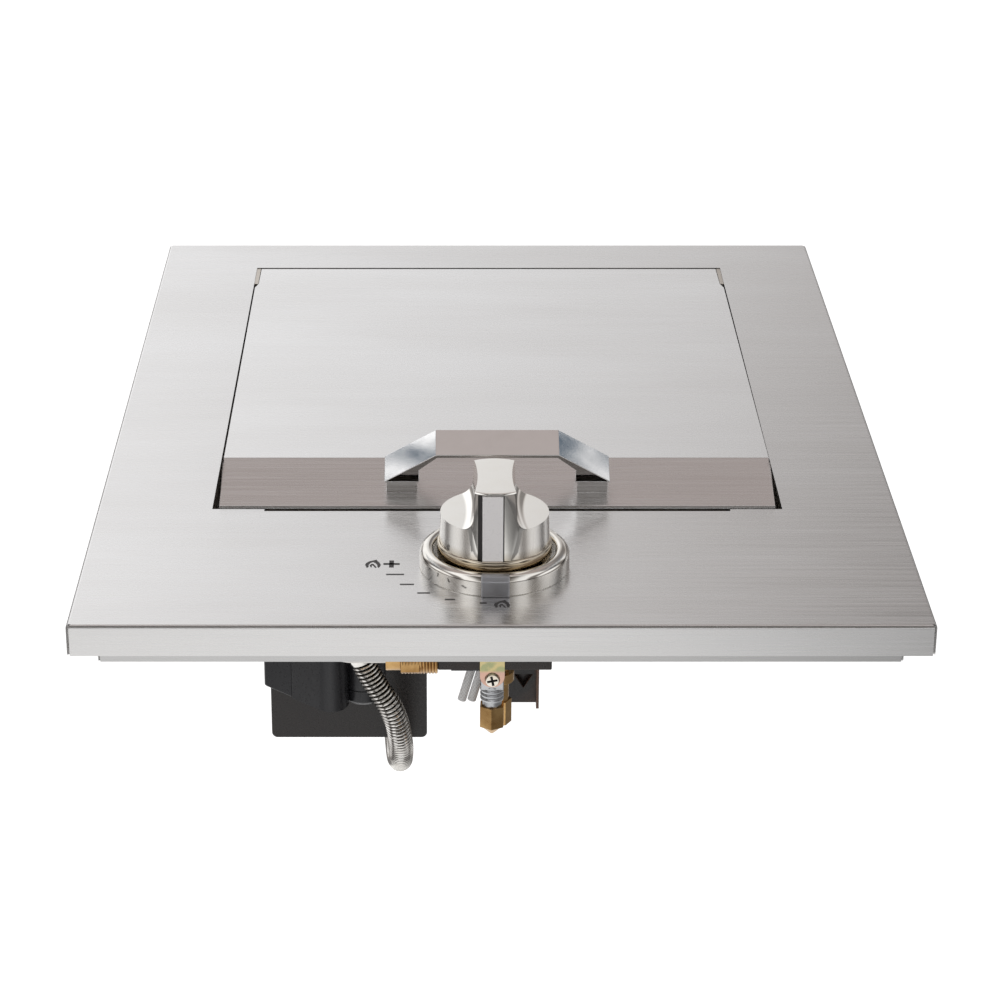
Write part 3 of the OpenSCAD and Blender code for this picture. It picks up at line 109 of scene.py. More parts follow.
class Bench:
    """Tools that act on one object at a time, with everything else deselected."""

    @staticmethod
    def clear() -> None:
        """Leaves nothing selected and no object active."""
        if bpy.context.view_layer.objects.active and bpy.context.object.mode != "OBJECT":
            bpy.ops.object.mode_set(mode="OBJECT")
        for obj in bpy.context.view_layer.objects:
            obj.select_set(False)
        bpy.context.view_layer.objects.active = None

    @staticmethod
    def only(obj: Obj) -> Obj:
        """Selects one object and makes it active."""
        Bench.clear()
        obj.select_set(True)
        bpy.context.view_layer.objects.active = obj
        return obj

    @staticmethod
    def new(name: str, data: bpy.types.ID) -> Obj:
        """Makes an object of a mesh, a curve, a light or a camera."""
        obj = bpy.data.objects.new(name, data)
        bpy.context.scene.collection.objects.link(obj)
        return obj

    @staticmethod
    def settle(obj: Obj, name: str) -> Obj:
        """Names a piece and moves its place, turn and scale into its mesh."""
        Bench.only(obj)
        bpy.ops.object.transform_apply(location=True, rotation=True, scale=True)
        obj.name = obj.data.name = name
        return obj

    @staticmethod
    def edit(obj: Obj, *steps: Callable[[], object]) -> None:
        """Runs steps on the whole of a piece in edit mode.

        Args:
            obj: the piece.
            steps: the calls to make, in order.
        """
        Bench.only(obj)
        bpy.ops.object.mode_set(mode="EDIT")
        bpy.ops.mesh.select_all(action="SELECT")
        for step in steps:
            step()
        bpy.ops.object.mode_set(mode="OBJECT")

    @staticmethod
    def outward(obj: Obj) -> None:
        """Turns the faces of a closed mesh outwards."""
        Bench.edit(obj, lambda: bpy.ops.mesh.normals_make_consistent(inside=False))

    @staticmethod
    def copy_node(frame: dict, node: str) -> Obj:
        """Copies a CAD node and welds the copy's loose triangles.

        Args:
            node: the node's name.

        Returns:
            The welded copy, with its place in its mesh.
        """
        piece = Bench.only(Bench.new(f"{node}_fine", frame["nodes"][node].data.copy()))
        piece.data.materials.clear()
        bpy.ops.mesh.customdata_custom_splitnormals_clear()
        Bench.edit(piece, lambda: bpy.ops.mesh.remove_doubles(threshold=WELD),
                   lambda: bpy.ops.mesh.dissolve_limited(angle_limit=math.radians(FLAT_ANGLE)))
        return piece

    @staticmethod
    def ease(obj: Obj, width: float, segments: int = 2, angle: float = 32.0) -> None:
        """Rounds the sharp edges of a piece and shades what is left smoothly.

        Args:
            obj: the piece.
            width: the rounding, in millimetres; 0 only shades.
            segments: the rounding's steps.
            angle: edges sharper than this are rounded, in degrees.
        """
        Bench.only(obj)
        if width > 0:
            Bench.modify(obj, "BEVEL", width=width * MM, segments=segments, limit_method="ANGLE",
                         angle_limit=math.radians(angle), use_clamp_overlap=True)
            angle += 12.0
        bpy.ops.object.shade_smooth_by_angle(angle=math.radians(angle))
        Bench.modify(obj, "WEIGHTED_NORMAL", mode="FACE_AREA", weight=100, keep_sharp=True)

    @staticmethod
    def modify(obj: Obj, kind: str, **settings: object) -> None:
        """Adds a modifier to the active object and applies it.

        Args:
            obj: the active object.
            kind: the modifier's type.
            settings: its properties.
        """
        change = obj.modifiers.new(kind.lower(), kind)
        for name, value in settings.items():
            setattr(change, name, value)
        bpy.ops.object.modifier_apply(modifier=change.name)

    @staticmethod
    def mark_cuts(obj: Obj, gauge: float = 1.7) -> None:
        """Marks the sheared edges of a sheet: narrow faces that every neighbour meets squarely.

        Args:
            obj: the piece.
            gauge: no sheared edge is wider than this, in millimetres.
        """
        mesh = bmesh.new()
        mesh.from_mesh(obj.data)
        layer = mesh.faces.layers.float.new("cut")
        for face in mesh.faces:
            narrow = 2 * face.calc_area() / face.calc_perimeter() < gauge * MM / 1.1
            square = all(edge.calc_face_angle(0.0) > math.radians(SQUARE_ANGLE) for edge in face.edges)
            face[layer] = 1.0 if narrow and square else 0.0
        mesh.to_mesh(obj.data)
        mesh.free()

    @staticmethod
    def join(parts: Sequence[Obj], name: str) -> Obj:
        """Joins finished meshes into one piece.

        Args:
            parts: the meshes.
            name: the piece's name.

        Returns:
            The piece.
        """
        Bench.clear()
        for part in parts:
            part.select_set(True)
        bpy.context.view_layer.objects.active = parts[0]
        bpy.ops.object.join()
        return Bench.settle(parts[0], name)

    @staticmethod
    def box(name: str, size: Point, centre: Point) -> Obj:
        """Adds a box, in millimetres from the deck's surface."""
        bpy.ops.mesh.primitive_cube_add(size=1.0, location=at(*centre))
        bpy.context.object.scale = tuple(side * MM for side in size)
        return Bench.settle(bpy.context.object, name)

    @staticmethod
    def turned(levels: Sequence[Level], centre: Point, axis: Point = (0, 0, 1), sides: int = 192) -> Obj:
        """Turns a solid: a disc is extruded upwards level by level and scaled at each.

        Args:
            levels: radius and height of each level, in millimetres, from the foot up.
            centre: where height 0 of the axis stands, in millimetres from the deck's surface.
            axis: the direction that the heights run in.
            sides: its number of sides.

        Returns:
            The solid, with its place in its mesh.
        """
        Bench.clear()
        radius, height = levels[0]
        bpy.ops.mesh.primitive_circle_add(vertices=sides, radius=radius * MM, fill_type="NGON",
                                          location=(0, 0, height * MM))
        solid = bpy.context.object
        bpy.ops.object.transform_apply(location=True, rotation=False, scale=False)
        bpy.ops.object.mode_set(mode="EDIT")
        bpy.ops.mesh.select_all(action="SELECT")
        for next_radius, next_height in levels[1:]:
            rise = (next_height - height) * MM
            bpy.ops.mesh.extrude_region_move(TRANSFORM_OT_translate={"value": (0, 0, rise)})
            grow = next_radius / radius
            bpy.ops.transform.resize(value=(grow, grow, 1.0), center_override=(0, 0, next_height * MM))
            radius, height = next_radius, next_height
        Bench.outward(solid)
        solid.matrix_world = Matrix.Translation(at(*centre)) @ aimed(axis)
        return Bench.settle(solid, "turned")

    @staticmethod
    def cut(obj: Obj, tool: Obj) -> None:
        """Cuts one closed mesh out of another and removes the cutter."""
        Bench.only(obj)
        Bench.modify(obj, "BOOLEAN", operation="DIFFERENCE", solver="EXACT", object=tool)
        bpy.data.objects.remove(tool, do_unlink=True)


# Node layouts


class Nodes:
    """Short ways to lay out a node tree."""

    def __init__(self, tree: bpy.types.NodeTree) -> None:
        """Keeps the tree."""
        self.tree = tree

    def feed(self, socket: Socket, value: Value) -> None:
        """Links an output to an input, or sets the input to a number, a colour or a triple."""
        if isinstance(value, Socket):
            self.tree.links.new(value, socket)
        else:
            socket.default_value = (*value, 1.0) if socket.type == "RGBA" else value

    def add(self, kind: str, inputs: dict[str, Value] | None = None, **settings: object) -> bpy.types.Node:
        """Adds a node.

        Args:
            kind: its type, without the leading ShaderNode.
            inputs: what its inputs are fed with, by their names.
            settings: its own properties, which are set first.

        Returns:
            The node.
        """
        node = self.tree.nodes.new(f"ShaderNode{kind}")
        for name, value in settings.items():
            setattr(node, name, value)
        for name, value in (inputs or {}).items():
            self.feed(node.inputs[name], value)
        return node

    def place(self, kind: str = "Object") -> Socket:
        """The texture coordinates of one kind."""
        return self.add("TexCoord").outputs[kind]

    def split(self, vector: Socket) -> dict[str, Socket]:
        """The parts of a vector, by their letters."""
        parts = self.add("SeparateXYZ", {"Vector": vector}).outputs
        return {part.name: part for part in parts}

    def math(self, operation: str, *terms: float | Socket, clamp: bool = False) -> Socket:
        """Adds one sum and feeds it."""
        node = self.add("Math", operation=operation, use_clamp=clamp)
        for socket, term in zip(node.inputs, terms):
            self.feed(socket, term)
        return node.outputs[0]

    def times(self, product: Socket, *terms: float | Socket) -> Socket:
        """Multiplies two or more terms."""
        for term in terms:
            product = self.math("MULTIPLY", product, term)
        return product

    def ramp(self, source: Socket, low: float, high: float, start: float = 0.3, end: float = 0.7,
             kind: str = "LINEAR") -> Socket:
        """Stretches a mask from one range onto another.

        Args:
            source: the mask.
            low: what comes out at start.
            high: what comes out at end.
            start: the mask's lower value.
            end: the mask's upper value.
            kind: how it goes from one end to the other.

        Returns:
            The stretched value.
        """
        ends = {"From Min": start, "From Max": end, "To Min": low, "To Max": high}
        return self.add("MapRange", {"Value": source, **ends}, interpolation_type=kind).outputs["Result"]

    def smooth(self, value: Socket, start: float, end: float, low: float = 0.0, high: float = 1.0) -> Socket:
        """Goes smoothly from one number to another as a value passes from start to end."""
        return self.ramp(value, low, high, start, end, "SMOOTHSTEP")

    def blend(self, factor: Value, first: Value, second: Value, kind: str = "MIX") -> Socket:
        """Mixes two colours by a mask."""
        given = {"Factor": factor, "A": first, "B": second}
        return self.add("Mix", given, data_type="RGBA", blend_type=kind).outputs["Result"]

    def noise(self, vector: Socket, scale: float | Socket, detail: float = 2.0, **more: float) -> Socket:
        """Noise laid out over a vector."""
        return self.add("TexNoise", {"Vector": vector, "Scale": scale, "Detail": detail, **more}).outputs["Fac"]


Masks = dict[str, Socket]


class Layouts:
    """What is inside the shared groups. Each layout takes a group's inputs and returns its outputs."""

    @staticmethod
    def grain(nodes: Nodes, given: bpy.types.NodeOutputs) -> Masks:
        """Brushed lines that run across the deck and fold over with the sheet, and slow clouds.

        Args:
            nodes: the group's nodes.
            given: its inputs.

        Returns:
            Lines and Cloud.
        """
        spot, facing = nodes.split(nodes.place()), nodes.split(nodes.place("Normal"))
        side = nodes.math("GREATER_THAN", nodes.math("ABSOLUTE", facing["X"]), 0.75)
        along, across = (nodes.add("Mix", {"Factor": side, "A": spot[a], "B": spot[b]}).outputs["Result"]
                         for a, b in ("XZ", "ZX"))
        shrunk = nodes.math("DIVIDE", along, given["Stretch"])
        joined = nodes.add("CombineXYZ", {"X": shrunk, "Y": spot["Y"], "Z": across}).outputs[0]
        broad = nodes.add("Mapping", {"Scale": (0.22, 1.0, 1.0), "Vector": nodes.place()}).outputs[0]
        return {"Lines": nodes.noise(joined, given["Fineness"], 4.0, Roughness=0.6),
                "Cloud": nodes.noise(broad, 34.0)}

    @staticmethod
    def speckle(nodes: Nodes, given: bpy.types.NodeOutputs) -> Masks:
        """Fine grain and slow blotches for cast, plated, painted and moulded surfaces."""
        return {"Grain": nodes.noise(nodes.place(), given["Grain Scale"], 3.0),
                "Blotch": nodes.noise(nodes.place(), given["Blotch Scale"], 4.0)}

    @staticmethod
    def sheared(nodes: Nodes, given: bpy.types.NodeOutputs) -> Masks:
        """Sheared sheet edges, from the mark in the mesh, with a torn look."""
        torn = nodes.ramp(nodes.noise(nodes.place(), 900.0), 0.75, 1.0, 0.0, 1.0)
        mark = nodes.add("Attribute", attribute_name="cut").outputs["Fac"]
        return {"Cut": nodes.times(mark, torn, given["Amount"])}

    @staticmethod
    def hollow_shade(nodes: Nodes, given: bpy.types.NodeOutputs) -> Masks:
        """Painted shade that darkens inner corners and joints, where shade falls."""
        hollow = nodes.ramp(nodes.add("NewGeometry").outputs["Pointiness"], 0.0, 1.0, 0.48, 0.38)
        return {"Dirt": nodes.math("MULTIPLY", hollow, given["Amount"], clamp=True)}

    @staticmethod
    def wear(nodes: Nodes, given: bpy.types.NodeOutputs) -> Masks:
        """Bright rubbed edges, broken up by noise."""
        sharp = nodes.ramp(nodes.add("NewGeometry").outputs["Pointiness"], 0.0, 1.0, 0.53, 0.66)
        broken = nodes.times(sharp, nodes.noise(nodes.place(), 420.0))
        return {"Edge": nodes.math("MULTIPLY", broken, given["Amount"], clamp=True)}


class Shared(Enum):
    """The groups that several finishes share: title, inputs with their usual values, and layout."""

    GRAIN = ("brushed grain", {"Fineness": 900.0, "Stretch": 60.0}, Layouts.grain)
    SPECKLE = ("speckle", {"Grain Scale": 1500.0, "Blotch Scale": 90.0}, Layouts.speckle)
    SHEARED = ("sheared edge", {"Amount": 0.9}, Layouts.sheared)
    # Painted shade in hollows and at joints.
    GRIME = ("painted hollow shade", {"Amount": 0.7}, Layouts.hollow_shade)
    WEAR = ("edge wear", {"Amount": 0.5}, Layouts.wear)

    def __init__(self, title: str, given: dict[str, float], layout: Callable) -> None:
        """Keeps what the group is built from."""
        self.title, self.given, self.layout = title, given, layout

    @property
    def tree(self) -> bpy.types.NodeTree:
        """The group, built on its first use.

        Returns:
            The group's node tree.
        """
        tree = bpy.data.node_groups.get(self.title)
        if tree:
            return tree
        tree = bpy.data.node_groups.new(self.title, "ShaderNodeTree")
        for name, value in self.given.items():
            item = tree.interface.new_socket(name=name, in_out="INPUT", socket_type="NodeSocketFloat")
            item.default_value = value
        results = self.layout(Nodes(tree), tree.nodes.new("NodeGroupInput").outputs)
        for name in results:
            tree.interface.new_socket(name=name, in_out="OUTPUT", socket_type="NodeSocketFloat")
        end = tree.nodes.new("NodeGroupOutput")
        for name, mask in results.items():
            tree.links.new(mask, end.inputs[name])
        return tree


# Finishes


class Shop(Nodes):
    """A material being laid out round its shader."""

    def __init__(self, name: str) -> None:
        """Starts a node material with its shader and output."""
        self.material = bpy.data.materials.new(name)
        self.material.use_nodes = True
        super().__init__(self.material.node_tree)
        self.shader = self.tree.nodes["Principled BSDF"]

    def give(self, **values: Value) -> None:
        """Feeds the shader's inputs, named with _ for each space."""
        for name, value in values.items():
            self.feed(self.shader.inputs[name.replace("_", " ")], value)

    def over(self, mask: Socket, colour: Colour) -> None:
        """Lays a colour over what the shader's colour is so far, where the mask is bright."""
        so_far = self.shader.inputs["Base Color"].links[0].from_socket
        self.give(Base_Color=self.blend(mask, so_far, colour))

    def group(self, shared: Shared, **values: float) -> bpy.types.NodeOutputs:
        """Places a shared group with its own values and returns its outputs."""
        node = self.add("Group", node_tree=shared.tree)
        for name, value in values.items():
            node.inputs[name.replace("_", " ")].default_value = value
        return node.outputs

    def bump(self, height: Socket, distance: float, strength: float) -> None:
        """Feeds a height into the shader's normal, with its depth in millimetres."""
        node = self.add("Bump", {"Distance": distance * MM, "Strength": strength, "Height": height})
        self.give(Normal=node.outputs["Normal"])

    def height(self) -> Socket:
        """How high a point lies in the frame, in metres."""
        return self.split(self.place())["Z"]


def shade(colour: Colour, by: float) -> Colour:
    """Makes a colour lighter or darker by a factor."""
    return tuple(min(1.0, channel * by) for channel in colour)


@dataclass(frozen=True)
class Finish:
    """A finish: its name, colour and gloss, and how far the roughness strays from its value."""

    name: str
    colour: Colour
    roughness: float = 0.4
    metallic: float = 0.0
    strays: tuple[float, float] = (-0.06, 0.1)

    def build(self) -> bpy.types.Material:
        """Lays out the material.

        Returns:
            The node material.
        """
        shop = Shop(self.name)
        shop.give(Metallic=self.metallic)
        self.dress(shop)
        shop.material.diffuse_color = (*self.colour, 1.0)
        return shop.material

    def dress(self, shop: Shop) -> None:
        """Adds the finish's own nodes."""
        raise NotImplementedError

    def gloss(self, shop: Shop, mask: Socket) -> Socket:
        """The roughness, varied a little by a mask."""
        return shop.ramp(mask, *(self.roughness + step for step in self.strays))


@dataclass(frozen=True)
class BrushedSteel(Finish):
    """Brushed sheet: fine lines across the deck, slow clouds in tone and gloss."""

    metallic: float = 1.0
    fineness: float = 1100.0
    stretch: float = 70.0
    contrast: float = 0.05
    relief: float = 0.0025
    # Painted shade: the steel below the flanges is darkened, as if lying in their shadow.
    under_flange_shade: float = 0.5
    under_flange_shade_top: float = -0.3
    # Painted shade on the sheet's sheared edges: how strongly, and the near-black colour laid on them.
    sheared: float = 0.95
    cut_edge_shade: Colour = (0.02, 0.018, 0.017)
    smear: Colour = (0.95, 0.945, 0.94)
    strays: tuple[float, float] = (-0.05, 0.06)

    def dress(self, shop: Shop) -> None:
        """Adds the brushed lines, the clouds, painted shade under the flanges and painted shade on the sheared
        edges.

        Args:
            shop: the material being laid out.
        """
        grain = shop.group(Shared.GRAIN, Fineness=self.fineness, Stretch=self.stretch)
        lines = shop.blend(shop.ramp(grain["Lines"], 0.0, 1.0), shade(self.colour, 1.0 - self.contrast),
                           shade(self.colour, 1.0 + self.contrast * 0.5))
        smears = shop.blend(shop.ramp(grain["Cloud"], 0.0, 1.0), self.smear, (1.0, 1.0, 1.0))
        shop.give(Base_Color=shop.blend(1.0, lines, smears, "MULTIPLY"),
                  Roughness=self.gloss(shop, grain["Lines"]))
        # Painted shade under the flanges: below the set height the steel is darkened.
        under = shop.ramp(shop.height(), self.under_flange_shade, 0.0, (self.under_flange_shade_top - 0.4) * MM, self.under_flange_shade_top * MM)
        shop.over(under, shade(self.colour, 0.5))
        # Painted shade: the sheared edges are coloured nearly black, as if in shadow.
        shop.over(shop.group(Shared.SHEARED, Amount=self.sheared)["Cut"], self.cut_edge_shade)
        shop.bump(grain["Lines"], self.relief, 0.5)


@dataclass(frozen=True)
class Plated(Finish):
    """Bright plating or turned metal, with a faint cast skin and handling marks under it."""

    metallic: float = 1.0
    blotch: float = 0.06
    stain: Colour = (0.6, 0.58, 0.55)
    stain_share: float = 0.1
    stain_range: tuple[float, float] = (0.42, 0.72)
    # Painted shade in hollows and joints: how strongly they are darkened.
    hollow_shade: float = 0.35
    relief: float = 0.004

    def dress(self, shop: Shop) -> None:
        """Adds the stains, the uneven gloss, the painted shade in hollows and the skin.

        Args:
            shop: the material being laid out.
        """
        marks = shop.group(Shared.SPECKLE, Grain_Scale=1600.0, Blotch_Scale=120.0)
        stained = shop.ramp(marks["Blotch"], 0.0, self.stain_share, *self.stain_range)
        shop.give(Base_Color=shop.blend(stained, self.colour, self.stain),
                  Roughness=shop.ramp(marks["Blotch"], self.roughness * (1 - self.blotch * 4),
                                      self.roughness * (1 + self.blotch * 6)))
        # Painted shade: hollows and joints are darkened towards a dark stain colour.
        shop.over(shop.group(Shared.GRIME, Amount=self.hollow_shade)["Dirt"], shade(self.stain, 0.2))
        shop.bump(marks["Grain"], self.relief, 0.4)


@dataclass(frozen=True)
class KnobNickel(Plated):
    """Nickel whose plating turns golden round the foot."""

    foot: Colour = (0.46, 0.37, 0.24)
    foot_top: float = 12.0

    def dress(self, shop: Shop) -> None:
        """Adds the golden foot to the plating."""
        super().dress(shop)
        top = (self.foot_top + DECK_TOP) * MM
        shop.over(shop.ramp(shop.height(), 0.85, 0.0, top - 2 * MM, top + 3 * MM), self.foot)


@dataclass(frozen=True)
class Passivated(Plated):
    """Yellow passivate, whose thin film turns green and pink in places."""

    green: Colour = (0.36, 0.40, 0.22)
    pink: Colour = (0.72, 0.42, 0.38)
    pink_top: float = -20.4
    green_range: tuple[float, float] = (0.5, 0.62)

    def dress(self, shop: Shop) -> None:
        """Adds the film's colours to the plating.

        Args:
            shop: the material being laid out.
        """
        super().dress(shop)
        film = shop.group(Shared.SPECKLE, Grain_Scale=260.0, Blotch_Scale=190.0)
        shop.over(shop.ramp(film["Blotch"], 0.0, 0.8, *self.green_range), self.green)
        bend = self.pink_top * MM
        shop.over(shop.ramp(shop.height(), 0.75, 0.0, bend - 0.8 * MM, bend + 0.4 * MM), self.pink)


@dataclass(frozen=True)
class RibbedSteel(Plated):
    """Corrugated tube: painted shade in the valleys, crests left bright."""

    # Painted shade: the colour laid into the valleys.
    valley_shade: Colour = (0.05, 0.042, 0.036)

    def dress(self, shop: Shop) -> None:
        """Paints shade into the valleys by the mesh's crest attribute."""
        super().dress(shop)
        crest = shop.add("Attribute", attribute_name="crest").outputs["Fac"]
        shop.over(shop.ramp(crest, 1.0, 0.0, 0.3, 0.85), self.valley_shade)


@dataclass(frozen=True)
class Painted(Finish):
    """Paint, enamel or moulded plastic: fine texture, dust in the tone, edges rubbed lighter."""

    texture: float = 0.02
    texture_scale: float = 900.0
    worn: Colour = (0.12, 0.12, 0.12)
    wear: float = 0.35
    bare: float = 0.8
    dust: float = 0.5
    dust_range: tuple[float, float] = (0.45, 0.75)

    def dress(self, shop: Shop) -> None:
        """Adds the texture, the dust and the worn edges.

        Args:
            shop: the material being laid out.
        """
        marks = shop.group(Shared.SPECKLE, Grain_Scale=self.texture_scale, Blotch_Scale=70.0)
        dusty = shop.ramp(marks["Blotch"], 0.0, self.dust, *self.dust_range)
        shop.give(Base_Color=shop.blend(dusty, self.colour, shade(self.colour, 1.6)),
                  Roughness=self.gloss(shop, marks["Grain"]))
        shop.over(shop.group(Shared.WEAR, Amount=self.wear)["Edge"], self.worn)
        shop.over(shop.group(Shared.SHEARED, Amount=self.bare)["Cut"], self.worn)
        shop.bump(marks["Grain"], self.texture, 0.6)


@dataclass(frozen=True)
class Cast(Finish):
    """Cast metal: pitted skin with slow colour changes."""

    pits: float = 0.12
    pit_scale: float = 700.0
    strays: tuple[float, float] = (-0.08, 0.08)

    def dress(self, shop: Shop) -> None:
        """Adds the pitted skin.

        Args:
            shop: the material being laid out.
        """
        marks = shop.group(Shared.SPECKLE, Grain_Scale=self.pit_scale, Blotch_Scale=60.0)
        shop.give(Base_Color=shop.blend(shop.ramp(marks["Blotch"], 0.0, 1.0), shade(self.colour, 0.8),
                                        shade(self.colour, 1.15)),
                  Roughness=self.gloss(shop, marks["Grain"]))
        shop.bump(marks["Grain"], self.pits, 0.7)


@dataclass(frozen=True)
class Woven(Finish):
    """Braided glass sleeve: crossing bands of thread."""

    thread: float = 325.0
    slant: float = 38.0

    def dress(self, shop: Shop) -> None:
        """Adds the braid.

        Args:
            shop: the material being laid out.
        """
        bands = []
        for turn in (self.slant, -self.slant):
            leaning = shop.add("Mapping", {"Rotation": (0.0, math.radians(turn), 0.0), "Vector": shop.place()})
            wave = shop.add("TexWave", {"Scale": self.thread, "Vector": leaning.outputs[0]})
            bands.append(wave.outputs["Fac"])
        braid = shop.math("MAXIMUM", *bands)
        shop.give(Base_Color=shop.blend(braid, shade(self.colour, 0.72), self.colour), Roughness=self.roughness)
        shop.bump(braid, 0.08, 0.6)


class Look(Enum):
    """The finishes of this burner, each with its place in the record's material slots."""

    DECK = ("deck_steel", BrushedSteel("brushed deck steel", (0.79, 0.785, 0.78), 0.27))
    BOWL = ("bowl_steel", BrushedSteel("bowl steel", (0.62, 0.57, 0.51), 0.34, contrast=0.04, stretch=12.0))
    CHROME = ("polished_chrome", Plated("polished chrome", (0.90, 0.89, 0.88), 0.05))
    BEZEL = ("polished_chrome", Plated("bezel chrome", (0.80, 0.775, 0.73), 0.10, stain=(0.55, 0.49, 0.40),
                                       stain_share=0.35))
    TAB = ("polished_chrome", Plated("window chrome", (0.50, 0.505, 0.53), 0.38, stain=(0.42, 0.42, 0.45)))
    KNOB = ("knob_nickel", KnobNickel("knob nickel", (0.95, 0.93, 0.885), 0.08, stain=(0.80, 0.74, 0.62)))
    # Painted shade: a near-black finish for grooves and recesses.
    GROOVE = ("black_paint", Painted("painted groove shade", (0.03, 0.026, 0.026), 0.35, texture=0.004, wear=0.0))
    POINTER = ("pointer_inlay", Painted("pale inlay", (0.97, 0.95, 0.945), 0.3, texture=0.002, wear=0.0,
                                        dust=0.0))
    BLACK = ("black_paint", Painted("black paint", (0.013, 0.011, 0.0105), 0.28, texture=0.004,
                                    worn=(0.20, 0.10, 0.06), wear=0.4, dust=0.25))
    BRASS = ("brass", Plated("turned brass", (0.63, 0.40, 0.17), 0.22, stain=(0.34, 0.18, 0.06),
                             stain_share=0.9, hollow_shade=0.9, relief=0.012))
    ZINC = ("zinc_plate", Plated("zinc plating", (0.56, 0.57, 0.58), 0.26, stain=(0.33, 0.34, 0.36),
                                 stain_share=0.7, hollow_shade=0.9))
    YELLOW = ("yellow_zinc", Passivated("yellow passivate", (0.66, 0.54, 0.26), 0.22, stain=(0.66, 0.62, 0.42),
                                        stain_share=0.4, hollow_shade=0.8))
    SCREW = ("yellow_zinc", Plated("yellow screw", (0.95, 0.92, 0.84), 0.2, stain=(0.60, 0.40, 0.14),
                                   stain_share=0.5, hollow_shade=1.0))
    HOSE = ("hose_steel", RibbedSteel("corrugated steel", (0.90, 0.88, 0.84), 0.16, stain=(0.46, 0.42, 0.36),
                                      stain_share=0.4))
    TUBE = ("hose_steel", Plated("tube steel", (0.62, 0.60, 0.57), 0.2, stain=(0.46, 0.42, 0.36),
                                 stain_share=0.4))
    IRON = ("grate_iron", Cast("grate enamel", (0.022, 0.022, 0.023), 0.5))
    ALLOY = ("cast_alloy", Cast("cast alloy", (0.50, 0.50, 0.49), 0.42, metallic=1.0))
    ENAMEL = ("burner_cap_enamel", Painted("cap enamel", (0.02, 0.02, 0.021), 0.3, wear=0.2))
    PLASTIC = ("black_plastic", Painted("moulded plastic", (0.020, 0.020, 0.023), 0.3, texture=0.008,
                                        worn=(0.09, 0.09, 0.09), dust=0.25))
    SLEEVE = ("white_sleeve", Woven("glass sleeve", (0.96, 0.965, 0.96), 0.6))
    CERAMIC = ("ceramic_white", Painted("glazed ceramic", (0.85, 0.84, 0.80), 0.18, texture=0.003,
                                        worn=(0.8, 0.78, 0.74), dust=0.1))
    RUBBER = ("bumper_rubber", Painted("bumper rubber", (0.025, 0.025, 0.025), 0.7, texture=0.02, wear=0.1))
    WRAP = ("battery_wrap", Painted("battery wrap", (0.16, 0.18, 0.21), 0.35, wear=0.1))
    STEEL = ("fastener_steel", Plated("bright steel", (0.66, 0.66, 0.66), 0.26))
    INK = ("black_paint", Painted("dial ink", (0.045, 0.042, 0.042), 0.5, texture=0.004, wear=0.0, dust=0.3))

    def __init__(self, slot: str, finish: Finish) -> None:
        """Keeps the record's slot and the finish."""
        self.slot = slot
        self.finish = finish

    @property
    def material(self) -> bpy.types.Material:
        """The material, built on its first use."""
        return bpy.data.materials.get(self.finish.name) or self.finish.build()


def dress(obj: Obj, look: Look, body: str) -> Obj:
    """Gives a new piece its finish and its body, and reports it.

    Args:
        obj: the piece.
        look: its finish.
        body: the body that it rides on.

    Returns:
        The piece.
    """
    obj.data.materials.clear()
    obj.data.materials.append(look.material)
    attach(obj, body)
    LOG.info("%s: %s, rides on %s, %d faces", obj.name, look.finish.name, body, len(obj.data.polygons))
    return obj


# Sub-assemblies


@dataclass(frozen=True)
class Trim:
    """How a CAD piece's fine copy is finished: its look and the rounding of its edges."""

    look: Look
    width: float
    angle: float = 32.0
    segments: int = 2
    sheared: bool = False


@dataclass
class Assembly:
    """A group of pieces on the burner, dressed together."""

    frame: dict
    fine: dict[str, Trim] = field(default_factory=dict)
    plain: dict[str, Look] = field(default_factory=dict)
    pieces: dict[str, Obj] = field(default_factory=dict)

    def reshape(self, node: str, piece: Obj) -> None:
        """Changes a fine copy's mesh before its edges are rounded; most copies stay as they are."""

    def body_of(self, node: str) -> str:
        """Finds the body that carries a CAD node."""
        bodies = self.frame["record"]["behaviour"]["bodies"]
        return next(body for body, nodes in bodies.items() if node in nodes)

    def build(self) -> None:
        """Makes the eased copies and dresses the plain nodes."""
        for node, trim in self.fine.items():
            piece = Bench.copy_node(self.frame, node)
            if trim.sheared:
                Bench.mark_cuts(piece)
            self.reshape(node, piece)
            Bench.ease(piece, trim.width, trim.segments, trim.angle)
            dress(piece, trim.look, self.body_of(node))
            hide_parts(node)
            self.pieces[node] = piece
        for node, look in self.plain.items():
            obj = self.frame["nodes"][node]
            obj.data.materials.clear()
            obj.data.materials.append(look.material)
            LOG.info("%s: %s, CAD piece", node, look.finish.name)
        self.detail()

    def detail(self) -> None:
        """Adds what the CAD pieces don't have; most assemblies add nothing."""


